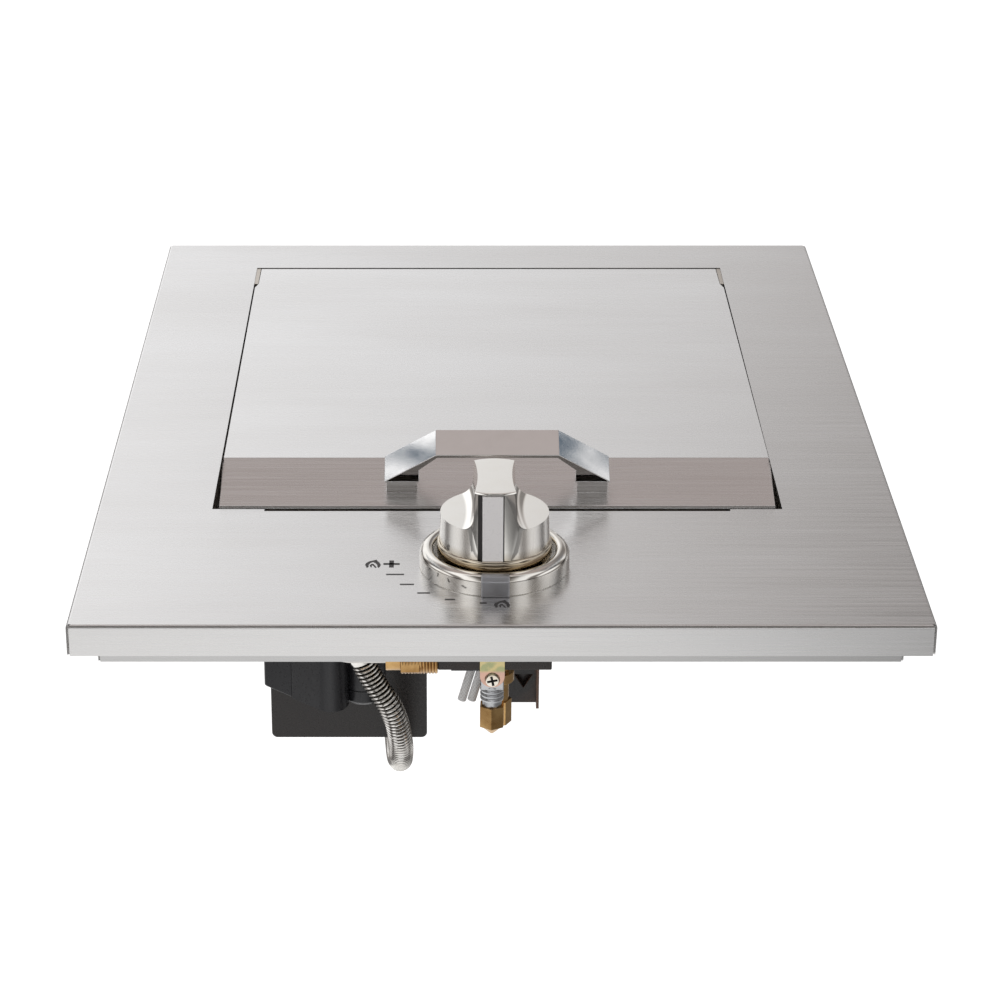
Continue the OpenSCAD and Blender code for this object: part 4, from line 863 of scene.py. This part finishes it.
@dataclass
class Deck(Assembly):
    """The deck, its dial marks and what is screwed to it."""

    tick_gauge: float = 1.15
    ink_depth: float = 0.06
    flame_width: float = 6.5
    ticks: tuple[Point, ...] = (
        (-41.9, -181.8, 7.2), (-37.0, -191.1, 5.6), (-30.3, -199.0, 5.1), (-19.9, -204.9, 4.0),
        (-6.8, -208.1, 2.7))
    plus: Point = (-43.5, -171.9, 6.6)
    plus_gauge: tuple[float, float] = (1.6, 1.9)
    flames: tuple[Point, ...] = ((-51.0, -175.6, 7.8), (0.5, -212.4, 7.0))
    bezel_axis: Point = (-2.0, -172.4, 0.0)
    bezel: tuple[float, float, float] = (30.25, 24.8, 8.5)
    notch: tuple[float, float] = (11.2, 3.5)

    def bar(self, x: float, y: float, width: float, depth: float) -> Obj:
        """Prints one straight mark: a thin slab with its corners drawn in."""
        mark = Bench.box("mark", (width, depth, self.ink_depth), (x, y, self.ink_depth / 2))
        Bench.ease(mark, self.ink_depth * 0.4, 1)
        return mark

    def flame(self, x: float, y: float, height: float) -> Obj:
        """Prints a flame: an arched outline with one tongue, and a smaller flame inside it.

        Args:
            x: the middle of its foot.
            y: its foot.
            height: its height.

        Returns:
            The mark's mesh.
        """
        outer = ((-0.37, 0.0), (-0.49, 0.36), (-0.42, 0.59), (-0.21, 0.81), (0.05, 0.92), (0.21, 1.0),
                 (0.26, 0.84), (0.39, 0.66), (0.49, 0.36), (0.44, 0.14), (0.35, 0.0), (0.27, 0.19),
                 (0.27, 0.36), (0.15, 0.59), (0.0, 0.72), (-0.16, 0.61), (-0.27, 0.36), (-0.26, 0.12))
        inner = ((-0.13, 0.08), (-0.20, 0.30), (-0.08, 0.5), (0.03, 0.47), (0.24, 0.06), (0.15, 0.0),
                 (-0.01, 0.32), (-0.09, 0.28), (-0.05, 0.08))
        curve = bpy.data.curves.new("flame", "CURVE")
        curve.dimensions = "2D"
        curve.fill_mode = "BOTH"
        curve.resolution_u = 6
        curve.extrude = self.ink_depth * MM / 2
        for loop in (outer, inner):
            spline = curve.splines.new("BEZIER")
            spline.bezier_points.add(len(loop) - 1)
            spline.use_cyclic_u = True
            for point, (u, v) in zip(spline.bezier_points, loop):
                point.co = (u * self.flame_width * MM, v * height * MM, 0.0)
                point.handle_left_type = point.handle_right_type = "VECTOR"
        Bench.only(Bench.new("flame", curve))
        bpy.ops.object.convert(target="MESH")
        mark = bpy.context.object
        mark.location = at(x, y, self.ink_depth / 2)
        return Bench.settle(mark, "flame")

    def detail(self) -> None:
        """Prints the dial marks on the deck and turns the bezel."""
        marks = [self.bar(x, y, width, self.tick_gauge) for x, y, width in self.ticks]
        x, y, size = self.plus
        flat, upright = self.plus_gauge
        marks += [self.bar(x, y, size, flat), self.bar(x, y, upright, size)]
        marks += [self.flame(*flame) for flame in self.flames]
        dress(Bench.join(marks, "dial_marks"), Look.INK, "deck")
        self.turn_bezel()

    def turn_bezel(self) -> None:
        """Turns the bezel ring finely, with its rounded ridge and the notch of its window block."""
        x, y, _ = self.bezel_axis
        outer, bore, high = self.bezel
        edge, lip = high * 0.4, high * 0.2
        levels = [(outer - 0.3, 0.0), (outer, 0.3), (outer, high * 0.25)]
        levels += arc(outer - edge, high - edge, edge, range(10, 91, 8))
        ring = Bench.turned([*levels, (bore + lip, high)], (x, y, 0))
        throat = [(bore, -2.0), (bore, high - lip), *arc(bore + lip, high - lip, lip, range(165, 89, -15))]
        Bench.cut(ring, Bench.turned([*throat, (bore + lip, high + 2.0)], (x, y, 0)))
        width, depth = self.notch
        Bench.cut(ring, Bench.box("notch", (width, 2 * depth, high + 4), (x, y - outer, high / 2)))
        Bench.settle(ring, "bezel_fine")
        Bench.ease(ring, 0.0, angle=30.0)
        dress(ring, Look.BEZEL, "deck")
        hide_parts("bezel")


@dataclass
class Lid(Assembly):
    """Lid with its handle, whose broad faces lean forward to a thin front edge."""

    bevel_slope: float = 15.7
    lean: float = 2.3
    tip_drop: float = 14.2
    near: float = 0.3
    flare: float = 1.9
    flare_from: float = -84.0
    flare_to: float = 158.0
    flare_end: float = 164.0
    flare_rest: float = 0.4
    wall: float = 3.0
    back_wall: float = 2.0
    back_reach: float = 0.5

    def reshape(self, node: str, piece: Obj) -> None:
        """Leans the handle's faces and flares the lid's sides; see the two methods below."""
        if node == "handle":
            self.lean_handle(piece)
        elif node == "lid":
            self.flare_sides(piece)

    def flare_sides(self, piece: Obj) -> None:
        """Widens the lid a little towards the back, up to its hinges, so that its gap stays fine.

        Args:
            piece: the lid's fine copy.
        """
        mesh = bmesh.new()
        mesh.from_mesh(piece.data)
        for y in (self.flare_from, self.flare_to, self.flare_end):
            everything = [*mesh.verts, *mesh.edges, *mesh.faces]
            bmesh.ops.bisect_plane(mesh, geom=everything, plane_co=(0.0, y * MM, 0.0), plane_no=(0.0, 1.0, 0.0))
        side = max(point.co.x for point in mesh.verts) - self.wall * MM
        back = max(point.co.y for point in mesh.verts) - self.back_wall * MM
        for point in mesh.verts:
            y = point.co.y / MM
            share = min(max((y - self.flare_from) / (self.flare_to - self.flare_from), 0.0), 1.0)
            out = self.flare * share if y < (self.flare_to + self.flare_end) / 2 else self.flare_rest
            if abs(point.co.x) > side:
                point.co.x += math.copysign(out * MM, point.co.x)
            if point.co.y > back:
                point.co.y += self.back_reach * MM
        mesh.to_mesh(piece.data)
        mesh.free()

    def lean_handle(self, piece: Obj) -> None:
        """Lowers the front upper edge of the handle's bar and slanted ends.

        Args:
            piece: the handle's fine copy.
        """
        slope = math.radians(self.bevel_slope)
        up = Vector((0.0, -math.sin(slope), math.cos(slope)))
        along = Vector((0.0, math.cos(slope), math.sin(slope)))
        points = piece.data.vertices
        top, front = max(p.co.dot(up) for p in points), min(p.co.dot(along) for p in points)
        reach, near = max(abs(p.co.x) for p in points), self.near * MM
        for point in points:
            high = point.co.dot(up) > top - near
            tip = abs(point.co.x) > reach - near and point.co.dot(up) > top - self.tip_drop * MM - near
            if point.co.dot(along) < front + near and (high or tip):
                point.co -= up * (self.lean * MM)


@dataclass
class Knob(Assembly):
    """The control knob, turned finely and scooped out, with the inlay's groove in its flat front."""

    axis: Point = (-2.0, -172.4, 0.0)
    foot: float = 5.5
    ring: Level = (23.2, 11.4)
    body: float = 22.2
    rim: Level = (21.8, 23.6)
    top: Level = (18.4, 39.0)
    grip: float = 13.8
    waist: float = 102.0
    fillet: float = 5.0
    face: tuple[float, float] = (-21.4, -17.9)
    groove: tuple[float, float, float] = (-1.65, 10.5, 1.6)
    cavity: tuple[float, float, float] = (18.2, 6.0, 14.55)
    bore: Level = (3.05, 27.6)

    def round_over(self, radius: float, z: float, size: float) -> list[Level]:
        """The levels of a rounded upper edge."""
        return arc(radius - size, z - size, size, range(0, 91, 15))

    def blank(self) -> Obj:
        """Turns the knob's body on its foot ring.

        Returns:
            The body, without its scoops and hollows.
        """
        r, z = self.ring
        levels = [(r - 0.9, self.foot), (r - 0.3, self.foot + 0.3), (r, self.foot + 0.9)]
        levels += self.round_over(r, z, 1.0)[:-1]
        levels += [(self.body + 0.15, z), (self.body, z + 0.4), self.rim]
        levels += self.round_over(*self.top, 0.9) + [(self.top[0] - 4.0, self.top[1])]
        return Bench.turned(levels, self.axis)

    def scoop(self, side: int) -> Obj:
        """The cutter that hollows one shoulder: a wide disc with a rounded lower edge."""
        x, y, _ = self.axis
        low, r = self.rim[1], self.fillet
        levels = [*arc(self.waist - r, low + r, r, range(-90, 1, 10)), (self.waist, self.top[1] + 5.0)]
        return Bench.turned(levels, (x + side * (self.grip / 2 + self.waist), y, 0), sides=640)

    def slab(self, x: float, width: float, out: float, depth: float, high: float) -> Obj:
        """The cutter for the flat front or its groove: a box whose top leans back with that face.

        Args:
            x: its middle, from the knob's axis.
            width: its width.
            out: how far it stands out in front of the face.
            depth: how far it reaches in behind the face.
            high: its upper edge.

        Returns:
            The cutter, with its place in its mesh.
        """
        low = self.ring[1]
        middle = (low + high) / 2
        lean = (self.face[1] - self.face[0]) * (high - low) / (self.top[1] - low)
        block = Bench.box("slab", (width, out + depth, high - low),
                          (self.axis[0] + x, self.axis[1] + self.face[0] + (depth - out) / 2, middle))
        for vertex in block.data.vertices:
            if vertex.co.z > at(0, 0, middle).z:
                vertex.co.y += lean * MM
        return block

    def plug(self, radius: float, low: float, high: float, sides: int = 48) -> Obj:
        """A cutter round the knob's axis."""
        return Bench.turned([(radius, low), (radius, high)], self.axis, sides=sides)

    def detail(self) -> None:
        """Models the knob and lays a dark sheet in its groove as painted shade."""
        knob = self.blank()
        for side in (-1, 1):
            Bench.cut(knob, self.scoop(side))
        Bench.cut(knob, self.slab(0, 60, 9, 0, self.top[1] + 3))
        outer, hub, roof = self.cavity
        hollow = self.plug(outer, self.foot - 2, roof, 96)
        Bench.cut(hollow, self.plug(hub, self.foot - 3, roof + 2))
        Bench.cut(knob, hollow)
        Bench.cut(knob, self.plug(self.bore[0], self.foot - 2, self.bore[1]))
        middle, width, depth = self.groove
        Bench.cut(knob, self.slab(middle, width, 3, depth, self.top[1] - 0.9))
        Bench.settle(knob, "knob_fine")
        Bench.ease(knob, 0.3, 3, 26.0)
        dress(knob, Look.KNOB, "knob")
        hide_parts("knob")
        # Painted shade: a dark sheet laid in the groove.
        groove_shade_sheet = self.slab(middle, width - 0.06, -depth + 0.12, depth - 0.02, self.top[1] - 0.95)
        Bench.settle(groove_shade_sheet, "knob_groove_shade")
        Bench.ease(groove_shade_sheet, 0.03, 1)
        dress(groove_shade_sheet, Look.GROOVE, "knob")


@dataclass
class Recess:
    """The cross recess in a screw's head."""

    head: Point
    axis: Point
    reach: float = 2.1
    width: float = 0.95
    depth: float = 1.3
    turn: float = 12.0

    def cut(self, screw: Obj) -> None:
        """Cuts the two crossing slots into the head.

        Args:
            screw: the screw.
        """
        aim = Matrix.Translation(at(*self.head)) @ aimed(self.axis)
        size = Matrix.Diagonal((2 * self.reach * MM, self.width * MM, 2 * self.depth * MM, 1.0))
        for turn in (self.turn, self.turn + 90.0):
            bpy.ops.mesh.primitive_cube_add(size=1.0)
            slot = bpy.context.object
            slot.matrix_world = aim @ Matrix.Rotation(math.radians(turn), 4, "Z") @ size
            Bench.cut(screw, Bench.settle(slot, "slot"))

    def paint_shade(self, screw: Obj) -> None:
        """Paints shade into the recess: its faces take the dark groove material.

        Args:
            screw: the screw, already dressed.
        """
        way, crown = Vector(self.axis), at(*self.head)
        screw.data.materials.append(Look.GROOVE.material)
        for face in screw.data.polygons:
            away = face.center - crown
            across = (away - way * away.dot(way)).length
            inside = -self.depth * 1.1 * MM < away.dot(way) < -0.1 * MM and across < self.reach * 1.05 * MM
            face.material_index = int(inside)


@dataclass
class GasTrain(Assembly):
    """Valve, bar, brass fittings, strap, test port and the pipe to the hose."""

    recess: Recess = field(default_factory=lambda: Recess((-3.0, -203.05, -37.1), (0, -1, 0)))
    cap_turn: float = 27.0
    web_centre: Point = (11.5, -124.6, -73.5)
    web_size: Point = (11.5, 0.8, 14.0)
    ridge: tuple[Level, ...] = ((-0.3, -1.0), (0.02, -0.9), (0.28, -0.15),
                                (0.28, 0.15), (0.02, 0.9), (-0.3, 1.0))

    def reshape(self, node: str, piece: Obj) -> None:
        """Cuts the strap screw's recess and turns the test port's cap a corner to the front.

        Args:
            node: the CAD piece.
            piece: its fine copy.
        """
        if node == "strap_screw":
            self.recess.cut(piece)
        elif node == "test_port_cap":
            low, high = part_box(node)
            middle = Matrix.Translation((low + high) / 2)
            turn = Matrix.Rotation(math.radians(self.cap_turn), 4, "Z")
            piece.data.transform(middle @ turn @ middle.inverted())

    def detail(self) -> None:
        """Paints shade into the screw's recess and adds the bracket's fold and the threads."""
        self.recess.paint_shade(self.pieces["strap_screw"])
        web = Bench.box("tube_bracket_fold", self.web_size, self.web_centre)
        Bench.ease(web, 0.2)
        dress(web, Look.BLACK, "deck")
        self.threads("test_port", (0, 0, 1), 0.14, 0.9, 7, Look.ZINC)
        self.threads("inlet_fitting", (1, 0, 0), 0.0, 1.0, 12, Look.BRASS)

    def threads(self, node: str, axis: Point, start: float, end: float, turns: int, look: Look) -> None:
        """Lays a thread's ridges round a fitting.

        Args:
            node: the fitting.
            axis: the direction that it points in, along a main axis.
            start: where the thread starts, as a share of the fitting's length.
            end: where it ends.
            turns: how many ridges it has.
            look: its finish.
        """
        low, high = (Vector(corner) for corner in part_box(node))
        way, middle = Vector(axis), (low + high) / 2
        length = (high - low).dot(way)
        wall = min(v for v, along in zip(high - low, axis) if not along) / 2 / MM
        pitch = length * (end - start) / turns
        levels = [(wall + out, pitch / MM / 2 * share) for out, share in self.ridge]
        ridges = []
        for turn in range(turns):
            here = (middle + way * (length * (start - 0.5) + pitch * (turn + 0.5))) / MM
            ridges.append(Bench.turned(levels, (here.x, here.y, here.z - DECK_TOP), axis, sides=40))
        thread = Bench.join(ridges, f"{node}_thread")
        Bench.ease(thread, 0.0, angle=50.0)
        dress(thread, look, "deck")


@dataclass
class Hose:
    """The corrugated gas connector, ribs swept along its route."""

    diameter: float = 10.5
    valley: float = 7.9
    cuff: float = 5.0
    deck_front: float = -228.5
    bore: float = 7.4
    ribs: int = 140
    around: int = 24
    steps: int = 6
    bore_steps: int = 90
    path_steps: int = 120
    crest_shape: float = 0.7
    route: tuple[Point, ...] = (
        (-58.5, 76.5, -49), (-56.4, 76.5, -53.8), (-54.3, 76.5, -58.6), (-51.8, 76.5, -63.5),
        (-49, 76.6, -68.4), (-46.3, 77, -73.3), (-44.2, 77.9, -78.5), (-42.6, 79.5, -84),
        (-41.6, 81.7, -90), (-41, 84.7, -96), (-40.8, 88.7, -102), (-41, 93.8, -108),
        (-41.3, 100, -113.2), (-41.8, 107.3, -117.6), (-42.4, 115.5, -121), (-43, 124.5, -123.4),
        (-43.6, 134.5, -124.6), (-44.5, 148.5, -125), (-45.4, 163.5, -125), (-46.3, 178.5, -125.1),
        (-47.2, 193.5, -125.4), (-48, 208.5, -126), (-48.8, 223.5, -127), (-49.4, 238.5, -128.4),
        (-49.8, 253.5, -130.2), (-50, 268.5, -132.3), (-50, 281.5, -134.3), (-50, 294.5, -136.3))

    def __post_init__(self) -> None:
        """Measures the route."""
        self.points = [Vector((x, y + self.deck_front, z)) for x, y, z in self.route]
        self.runs = [0.0]
        for a, b in zip(self.points, self.points[1:]):
            self.runs.append(self.runs[-1] + (b - a).length)
        self.length = self.runs[-1]

    def heading(self, index: int) -> Vector:
        """The route's direction at one of its points."""
        before, after = max(index - 1, 0), min(index + 1, len(self.points) - 1)
        return (self.points[after] - self.points[before]).normalized()

    def point(self, run: float) -> Vector:
        """Finds a point of the smooth curve through the route's points.

        Args:
            run: the distance along the route.

        Returns:
            The point, in millimetres from the deck's surface.
        """
        inner = range(len(self.points) - 2)
        index = next((i for i in inner if run <= self.runs[i + 1]), len(self.points) - 2)
        a, b = self.points[index], self.points[index + 1]
        span = (b - a).length
        t = (run - self.runs[index]) / span
        u, v = self.heading(index) * span, self.heading(index + 1) * span
        return ((2 * t ** 3 - 3 * t ** 2 + 1) * a + (t ** 3 - 2 * t ** 2 + t) * u
                + (3 * t ** 2 - 2 * t ** 3) * b + (t ** 3 - t ** 2) * v)

    def ring(self, run: float, radius: float) -> list[Vector]:
        """Lays out one ring round the route.

        Args:
            run: the distance along the route.
            radius: the ring's radius.

        Returns:
            Its points, in the frame's metres.
        """
        step = self.diameter / 20
        ahead = (self.point(min(self.length, run + step)) - self.point(max(0.0, run - step))).normalized()
        side = ahead.cross(Vector((0, 1, 1))).normalized()
        up = ahead.cross(side)
        centre = self.point(run)
        turns = [2 * math.pi * k / self.around for k in range(self.around)]
        return [at(*(centre + radius * (math.cos(a) * side + math.sin(a) * up))) for a in turns]

    def stations(self) -> list[Level]:
        """Lays out the hose's outline: plain cuffs, and one wave for each rib.

        Returns:
            Distances along the hose, each with its radius there.
        """
        cuff, crest, low = self.cuff, self.diameter / 2, self.valley / 2
        pitch = (self.length - 2 * cuff) / self.ribs
        rows = [(0.0, crest), (cuff * 0.5, crest), (cuff, crest)]
        for rib in range(self.ribs):
            for step in range(1, self.steps + 1):
                share = step / self.steps
                wave = (0.5 + 0.5 * math.cos(2 * math.pi * share)) ** self.crest_shape
                rows.append((cuff + (rib + share) * pitch, low + (crest - low) * wave))
        return rows + [(self.length - cuff * 0.5, crest), (self.length, crest)]

    def build(self, frame: dict) -> Obj:
        """Returns:
            The hose.
        """
        rows = self.stations()
        inner = [(self.length * i / self.bore_steps, self.bore / 2) for i in range(self.bore_steps + 1)]
        verts = [v for run, radius in rows + inner for v in self.ring(run, radius)]
        n, base = self.around, len(rows) * self.around
        last, last_in = base - n, base + self.bore_steps * n
        sides = [(k, (k + 1) % n) for k in range(n)]
        faces = [(a + k, a + n + k, a + n + j, a + j) for a in range(0, last, n) for k, j in sides]
        faces += [(a + k, a + j, a + n + j, a + n + k) for a in range(base, last_in, n) for k, j in sides]
        for k, j in sides:
            faces += [(k, j, base + j, base + k), (last + k, last_in + k, last_in + j, last + j)]
        mesh = bpy.data.meshes.new("gas_hose_fine")
        mesh.from_pydata(verts, [], faces)
        mesh.update()
        crest = mesh.attributes.new("crest", "FLOAT", "POINT")
        low, high = self.valley / 2, self.diameter / 2
        for row, (_, radius) in enumerate(rows):
            for k in range(n):
                crest.data[row * n + k].value = (radius - low) / (high - low)
        hose = Bench.new("gas_hose_fine", mesh)
        Bench.outward(hose)
        bpy.ops.object.shade_smooth_by_angle(angle=math.radians(70))
        dress(hose, Look.HOSE, "deck")
        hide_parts("gas_hose")
        return hose


# Studio


@dataclass
class Card:
    """A soft light panel that lights paint and plastic; the metal shows the room instead."""

    name: str
    place: Point
    aim: Point
    width: float
    height: float
    level: float

    def build(self) -> None:
        """Hangs the panel."""
        light = bpy.data.lights.new(self.name, "AREA")
        light.shape = "RECTANGLE"
        light.size, light.size_y = self.width, self.height
        light.energy = self.level * math.pi * self.width * self.height
        lamp = Bench.new(self.name, light)
        lamp.location = self.place
        lamp.rotation_euler = (Vector(self.aim) - Vector(self.place)).to_track_quat("-Z", "Y").to_euler()
        lamp.visible_camera = lamp.visible_glossy = False


# How brightness changes across the room: along which part of a direction, from where to where,
# and from what level to what level.
ROOM: dict[str, tuple[str, float, float, float, float]] = {
    "lift": ("Z", 0.20, 0.48, 0.36, 1.15),
    "shoulder": ("X", 0.08, 0.20, 0.0, 0.20),
    "right": ("X", 0.4, 0.75, 1.0, 0.1),
    "front": ("Y", -0.1, 0.5, 0.25, 1.0),
    "flag_inside": ("side", 0.68, 0.78, 0.0, 1.0),
    "flag_outside": ("side", 0.86, 0.92, 1.0, 0.0),
    "flag_top": ("Z", 0.5, 0.7, 0.8, 0.0),
    "skirting": ("side", 0.26, 0.4, 0.0, 0.75),
    "skirting_top": ("Z", 0.10, 0.22, 1.0, 0.0),
    "behind": ("Y", 0.0, 0.2, 0.0, 1.0),
    "ceiling": ("Z", 0.55, 0.74, 0.0, 1.0),
    "zenith": ("Z", 0.90, 0.99, 1.0, 0.85),
    "corner": ("side", 0.36, 0.50, 0.0, 1.0),
    "corner_foot": ("Z", 0.36, 0.46, 0.0, 1.0),
    "corner_head": ("Z", 0.74, 0.86, 1.0, 0.0),
    "overhead": ("Y", -0.12, 0.02, 1.0, 0.0),
    "overhead_foot": ("Z", 0.15, 0.36, 0.0, 1.0),
    "ahead": ("side", 0.3, 0.55, 1.0, 0.0),
}


@dataclass
class Studio:
    """Camera, floor, room and lights."""

    pitch: float = 23.75
    place: Point = (-0.0195, -1.230, 0.5068)
    lens: float = 104.08
    shift: float = 0.049
    floor_height: float = -0.45
    floor_glow: float = 0.8
    left_end: float = 0.14
    slope: float = 2.3
    deepest: float = 0.88
    brightest: float = 1.11
    cap: float = 1.2
    warm_range: tuple[float, float] = (0.35, 0.9)
    streak_scale: float = 42.0
    streak_range: tuple[float, float] = (0.42, 0.54)
    warm: Colour = (1.0, 0.94, 0.915)
    cool: Colour = (0.99, 0.99, 1.0)
    ceiling: Colour = (0.44, 0.385, 0.37)
    corner: Colour = (0.085, 0.12, 0.16)
    dark: Colour = (0.12, 0.108, 0.10)
    floor_glows: tuple[tuple[str, float, float, float, float], ...] = (
        ("X", 0.0, 0.55, 0.86, 0.12), ("X", -0.95, -0.5, 0.12, 1.0), ("Y", -3.4, -1.6, 0.1, 1.0))
    white: Colour = (1.0, 1.0, 1.0)
    cards: tuple[Card, ...] = (
        Card("card above", (-0.5, -0.3, 1.5), (0.0, 0.0, 0.0), 1.0, 1.0, 0.6),
        Card("card front left", (-0.8, -1.3, 0.35), (0.0, 0.0, -0.05), 0.7, 0.8, 1.0))

    def camera(self) -> None:
        """Stands the camera where the photograph was taken from."""
        data = bpy.data.cameras.new("camera")
        data.lens = self.lens
        data.sensor_width = 36.0
        data.shift_x = self.shift
        data.dof.use_dof = False
        camera = Bench.new("camera", data)
        camera.location = self.place
        camera.rotation_euler = (math.radians(90.0 - self.pitch), 0.0, 0.0)
        bpy.context.scene.camera = camera

    def world(self) -> None:
        """A pale room that falls off towards its right back corner, with a dimmer ceiling.

        The camera sees it white. A brushed deck shows it as the soft gradient of the photograph.
        """
        world = bpy.data.worlds.new("studio")
        world.use_nodes = True
        room = Nodes(world.node_tree)
        way = room.place("Generated")
        parts = room.split(way)
        parts["side"] = room.math("ABSOLUTE", parts["X"])
        zone = {name: room.smooth(parts[part], *ends) for name, (part, *ends) in ROOM.items()}
        steep = room.math("MULTIPLY", room.math("ADD", parts["X"], self.left_end), self.slope)
        fall = room.math("MINIMUM", room.times(room.math("ADD", steep, zone["shoulder"]), zone["lift"]),
                         self.deepest)
        level = room.math("SUBTRACT", self.brightest, room.times(fall, zone["right"], zone["front"]))
        level = room.math("MINIMUM", level, self.cap)
        for shadow in (room.times(zone["flag_inside"], zone["flag_outside"], zone["flag_top"]),
                       room.times(zone["skirting"], zone["skirting_top"])):
            level = room.times(level, room.math("SUBTRACT", 1.0, shadow))
        tone = room.blend(room.smooth(level, *self.warm_range), self.warm, self.cool)
        shown = room.add("VectorMath", {"Vector": tone, "Scale": level}, operation="SCALE").outputs[0]
        streaks = room.noise(way, self.streak_scale, Distortion=0.6)
        streaks = room.smooth(streaks, *self.streak_range, 1.0, 0.0)
        for mask, colour in (
                (room.times(zone["ceiling"], zone["zenith"], zone["behind"]), self.ceiling),
                (room.times(zone["corner"], zone["corner_foot"], zone["corner_head"], streaks, zone["behind"]),
                 self.corner),
                (room.times(zone["overhead"], zone["overhead_foot"], zone["ahead"]), self.dark)):
            shown = room.blend(mask, shown, colour)
        rays = room.add("LightPath").outputs
        seen = room.math("MAXIMUM", rays["Is Camera Ray"], rays["Is Transmission Ray"])
        room.feed(room.tree.nodes["Background"].inputs["Color"], room.blend(seen, shown, self.white))
        bpy.context.scene.world = world

    def floor(self) -> None:
        """A plain pale floor well below the burner, which hangs from its deck."""
        bpy.ops.mesh.primitive_plane_add(size=30.0, location=(0.0, 0.0, self.floor_height))
        floor = bpy.context.object
        floor.name = "floor"
        shop = Shop("pale floor")
        spot = shop.split(shop.place())
        shown = shop.times(*(shop.smooth(spot[part], *ends) for part, *ends in self.floor_glows))
        rays = shop.add("LightPath").outputs
        mirrored = shop.math("MAXIMUM", rays["Is Glossy Ray"], rays["Is Transmission Ray"])
        glow = shop.math("ADD", shop.times(rays["Is Camera Ray"], self.floor_glow), shop.times(mirrored, shown))
        shop.give(Base_Color=shop.blend(mirrored, (0.6, 0.6, 0.6), (0.2, 0.2, 0.2)), Roughness=0.9,
                  Specular_IOR_Level=0.0, Emission_Color=self.white, Emission_Strength=glow)
        floor.data.materials.append(shop.material)

    def build(self) -> None:
        """Sets up the floor, the room and the lights."""
        self.floor()
        self.world()
        for card in self.cards:
            card.build()
        bpy.context.scene.view_settings.view_transform = "Standard"
        LOG.info("studio ready, %d cards", len(self.cards))


def assemblies(frame: dict) -> list[Assembly]:
    """Lists the burner's sub-assemblies with the finish and the edge rounding of each piece.


    Returns:
        The sub-assemblies, in the order in which they are built.
    """
    deck = Deck(frame, fine={
        "top_plate": Trim(Look.DECK, 0.15, sheared=True), "bezel_window": Trim(Look.TAB, 0.5, 32.0, 3),
        "valve_screws": Trim(Look.STEEL, 0.15)})
    lid = Lid(frame, fine={
        "lid": Trim(Look.DECK, 0.3, 10.0, 3, sheared=True), "handle": Trim(Look.CHROME, 0.3, 15.0, 3),
        "handle_screws": Trim(Look.STEEL, 0.15), "hinge_bracket_left": Trim(Look.BOWL, 0.15),
        "hinge_bracket_right": Trim(Look.BOWL, 0.15), "hinge_pin_left": Trim(Look.STEEL, 0.15),
        "hinge_pin_right": Trim(Look.STEEL, 0.15), "lid_bumpers": Trim(Look.RUBBER, 0.4)})
    knob = Knob(frame, fine={
        "knob_pointer": Trim(Look.POINTER, 0.1), "valve_stem": Trim(Look.BRASS, 0.15),
        "stem_washer": Trim(Look.STEEL, 0.1)}, plain={"stem_spring": Look.STEEL})
    gas = GasTrain(frame, fine={
        "valve_body": Trim(Look.ALLOY, 0.3), "gas_jet": Trim(Look.BRASS, 0.15),
        "manifold_bar": Trim(Look.BLACK, 0.5), "inlet_fitting": Trim(Look.BRASS, 0.2),
        "flare_nut": Trim(Look.BRASS, 0.3), "inlet_pipe": Trim(Look.TUBE, 0.15),
        "hose_nut": Trim(Look.BRASS, 0.3), "pipe_strap": Trim(Look.YELLOW, 0.15),
        "test_port": Trim(Look.ZINC, 0.3), "test_port_cap": Trim(Look.BRASS, 0.35),
        "bleed_fitting": Trim(Look.BRASS, 0.3), "ignition_switch": Trim(Look.PLASTIC, 0.3),
        "lead_sleeves": Trim(Look.SLEEVE, 0.2), "tube_bracket": Trim(Look.BLACK, 0.2, sheared=True),
        "strap_screw": Trim(Look.SCREW, 0.15)}, plain={"hose_end_nut": Look.BRASS})
    burner = Assembly(frame, fine={
        "burner_bowl": Trim(Look.BOWL, 0.2), "burner_body": Trim(Look.ALLOY, 0.4),
        "burner_head": Trim(Look.ALLOY, 0.2), "burner_cap": Trim(Look.ENAMEL, 0.3),
        "burner_screws": Trim(Look.STEEL, 0.15), "air_shutter": Trim(Look.ZINC, 0.15),
        "electrode_bracket": Trim(Look.ZINC, 0.15), "electrode_ceramic": Trim(Look.CERAMIC, 0.2),
        "spark_electrode": Trim(Look.STEEL, 0.1), "pot_grate": Trim(Look.IRON, 0.0)})
    igniter = Assembly(frame, fine={
        "igniter_bracket": Trim(Look.BLACK, 0.25, sheared=True), "bracket_screws": Trim(Look.STEEL, 0.15),
        "igniter_case": Trim(Look.PLASTIC, 0.6, 20.0, 3), "igniter_cover": Trim(Look.PLASTIC, 0.6, 20.0, 3),
        "module_screws": Trim(Look.STEEL, 0.15), "battery": Trim(Look.WRAP, 0.4),
        "battery_cap": Trim(Look.PLASTIC, 0.3)})
    return [deck, lid, knob, gas, burner, igniter]


def main() -> None:
    """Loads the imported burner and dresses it."""
    logging.basicConfig(level=logging.INFO, format="%(message)s")
    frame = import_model()
    Bench.clear()
    studio = Studio()
    studio.camera()
    Hose().build(frame)
    for assembly in assemblies(frame):
        assembly.build()
    studio.build()


if __name__ == "__main__":
    main()
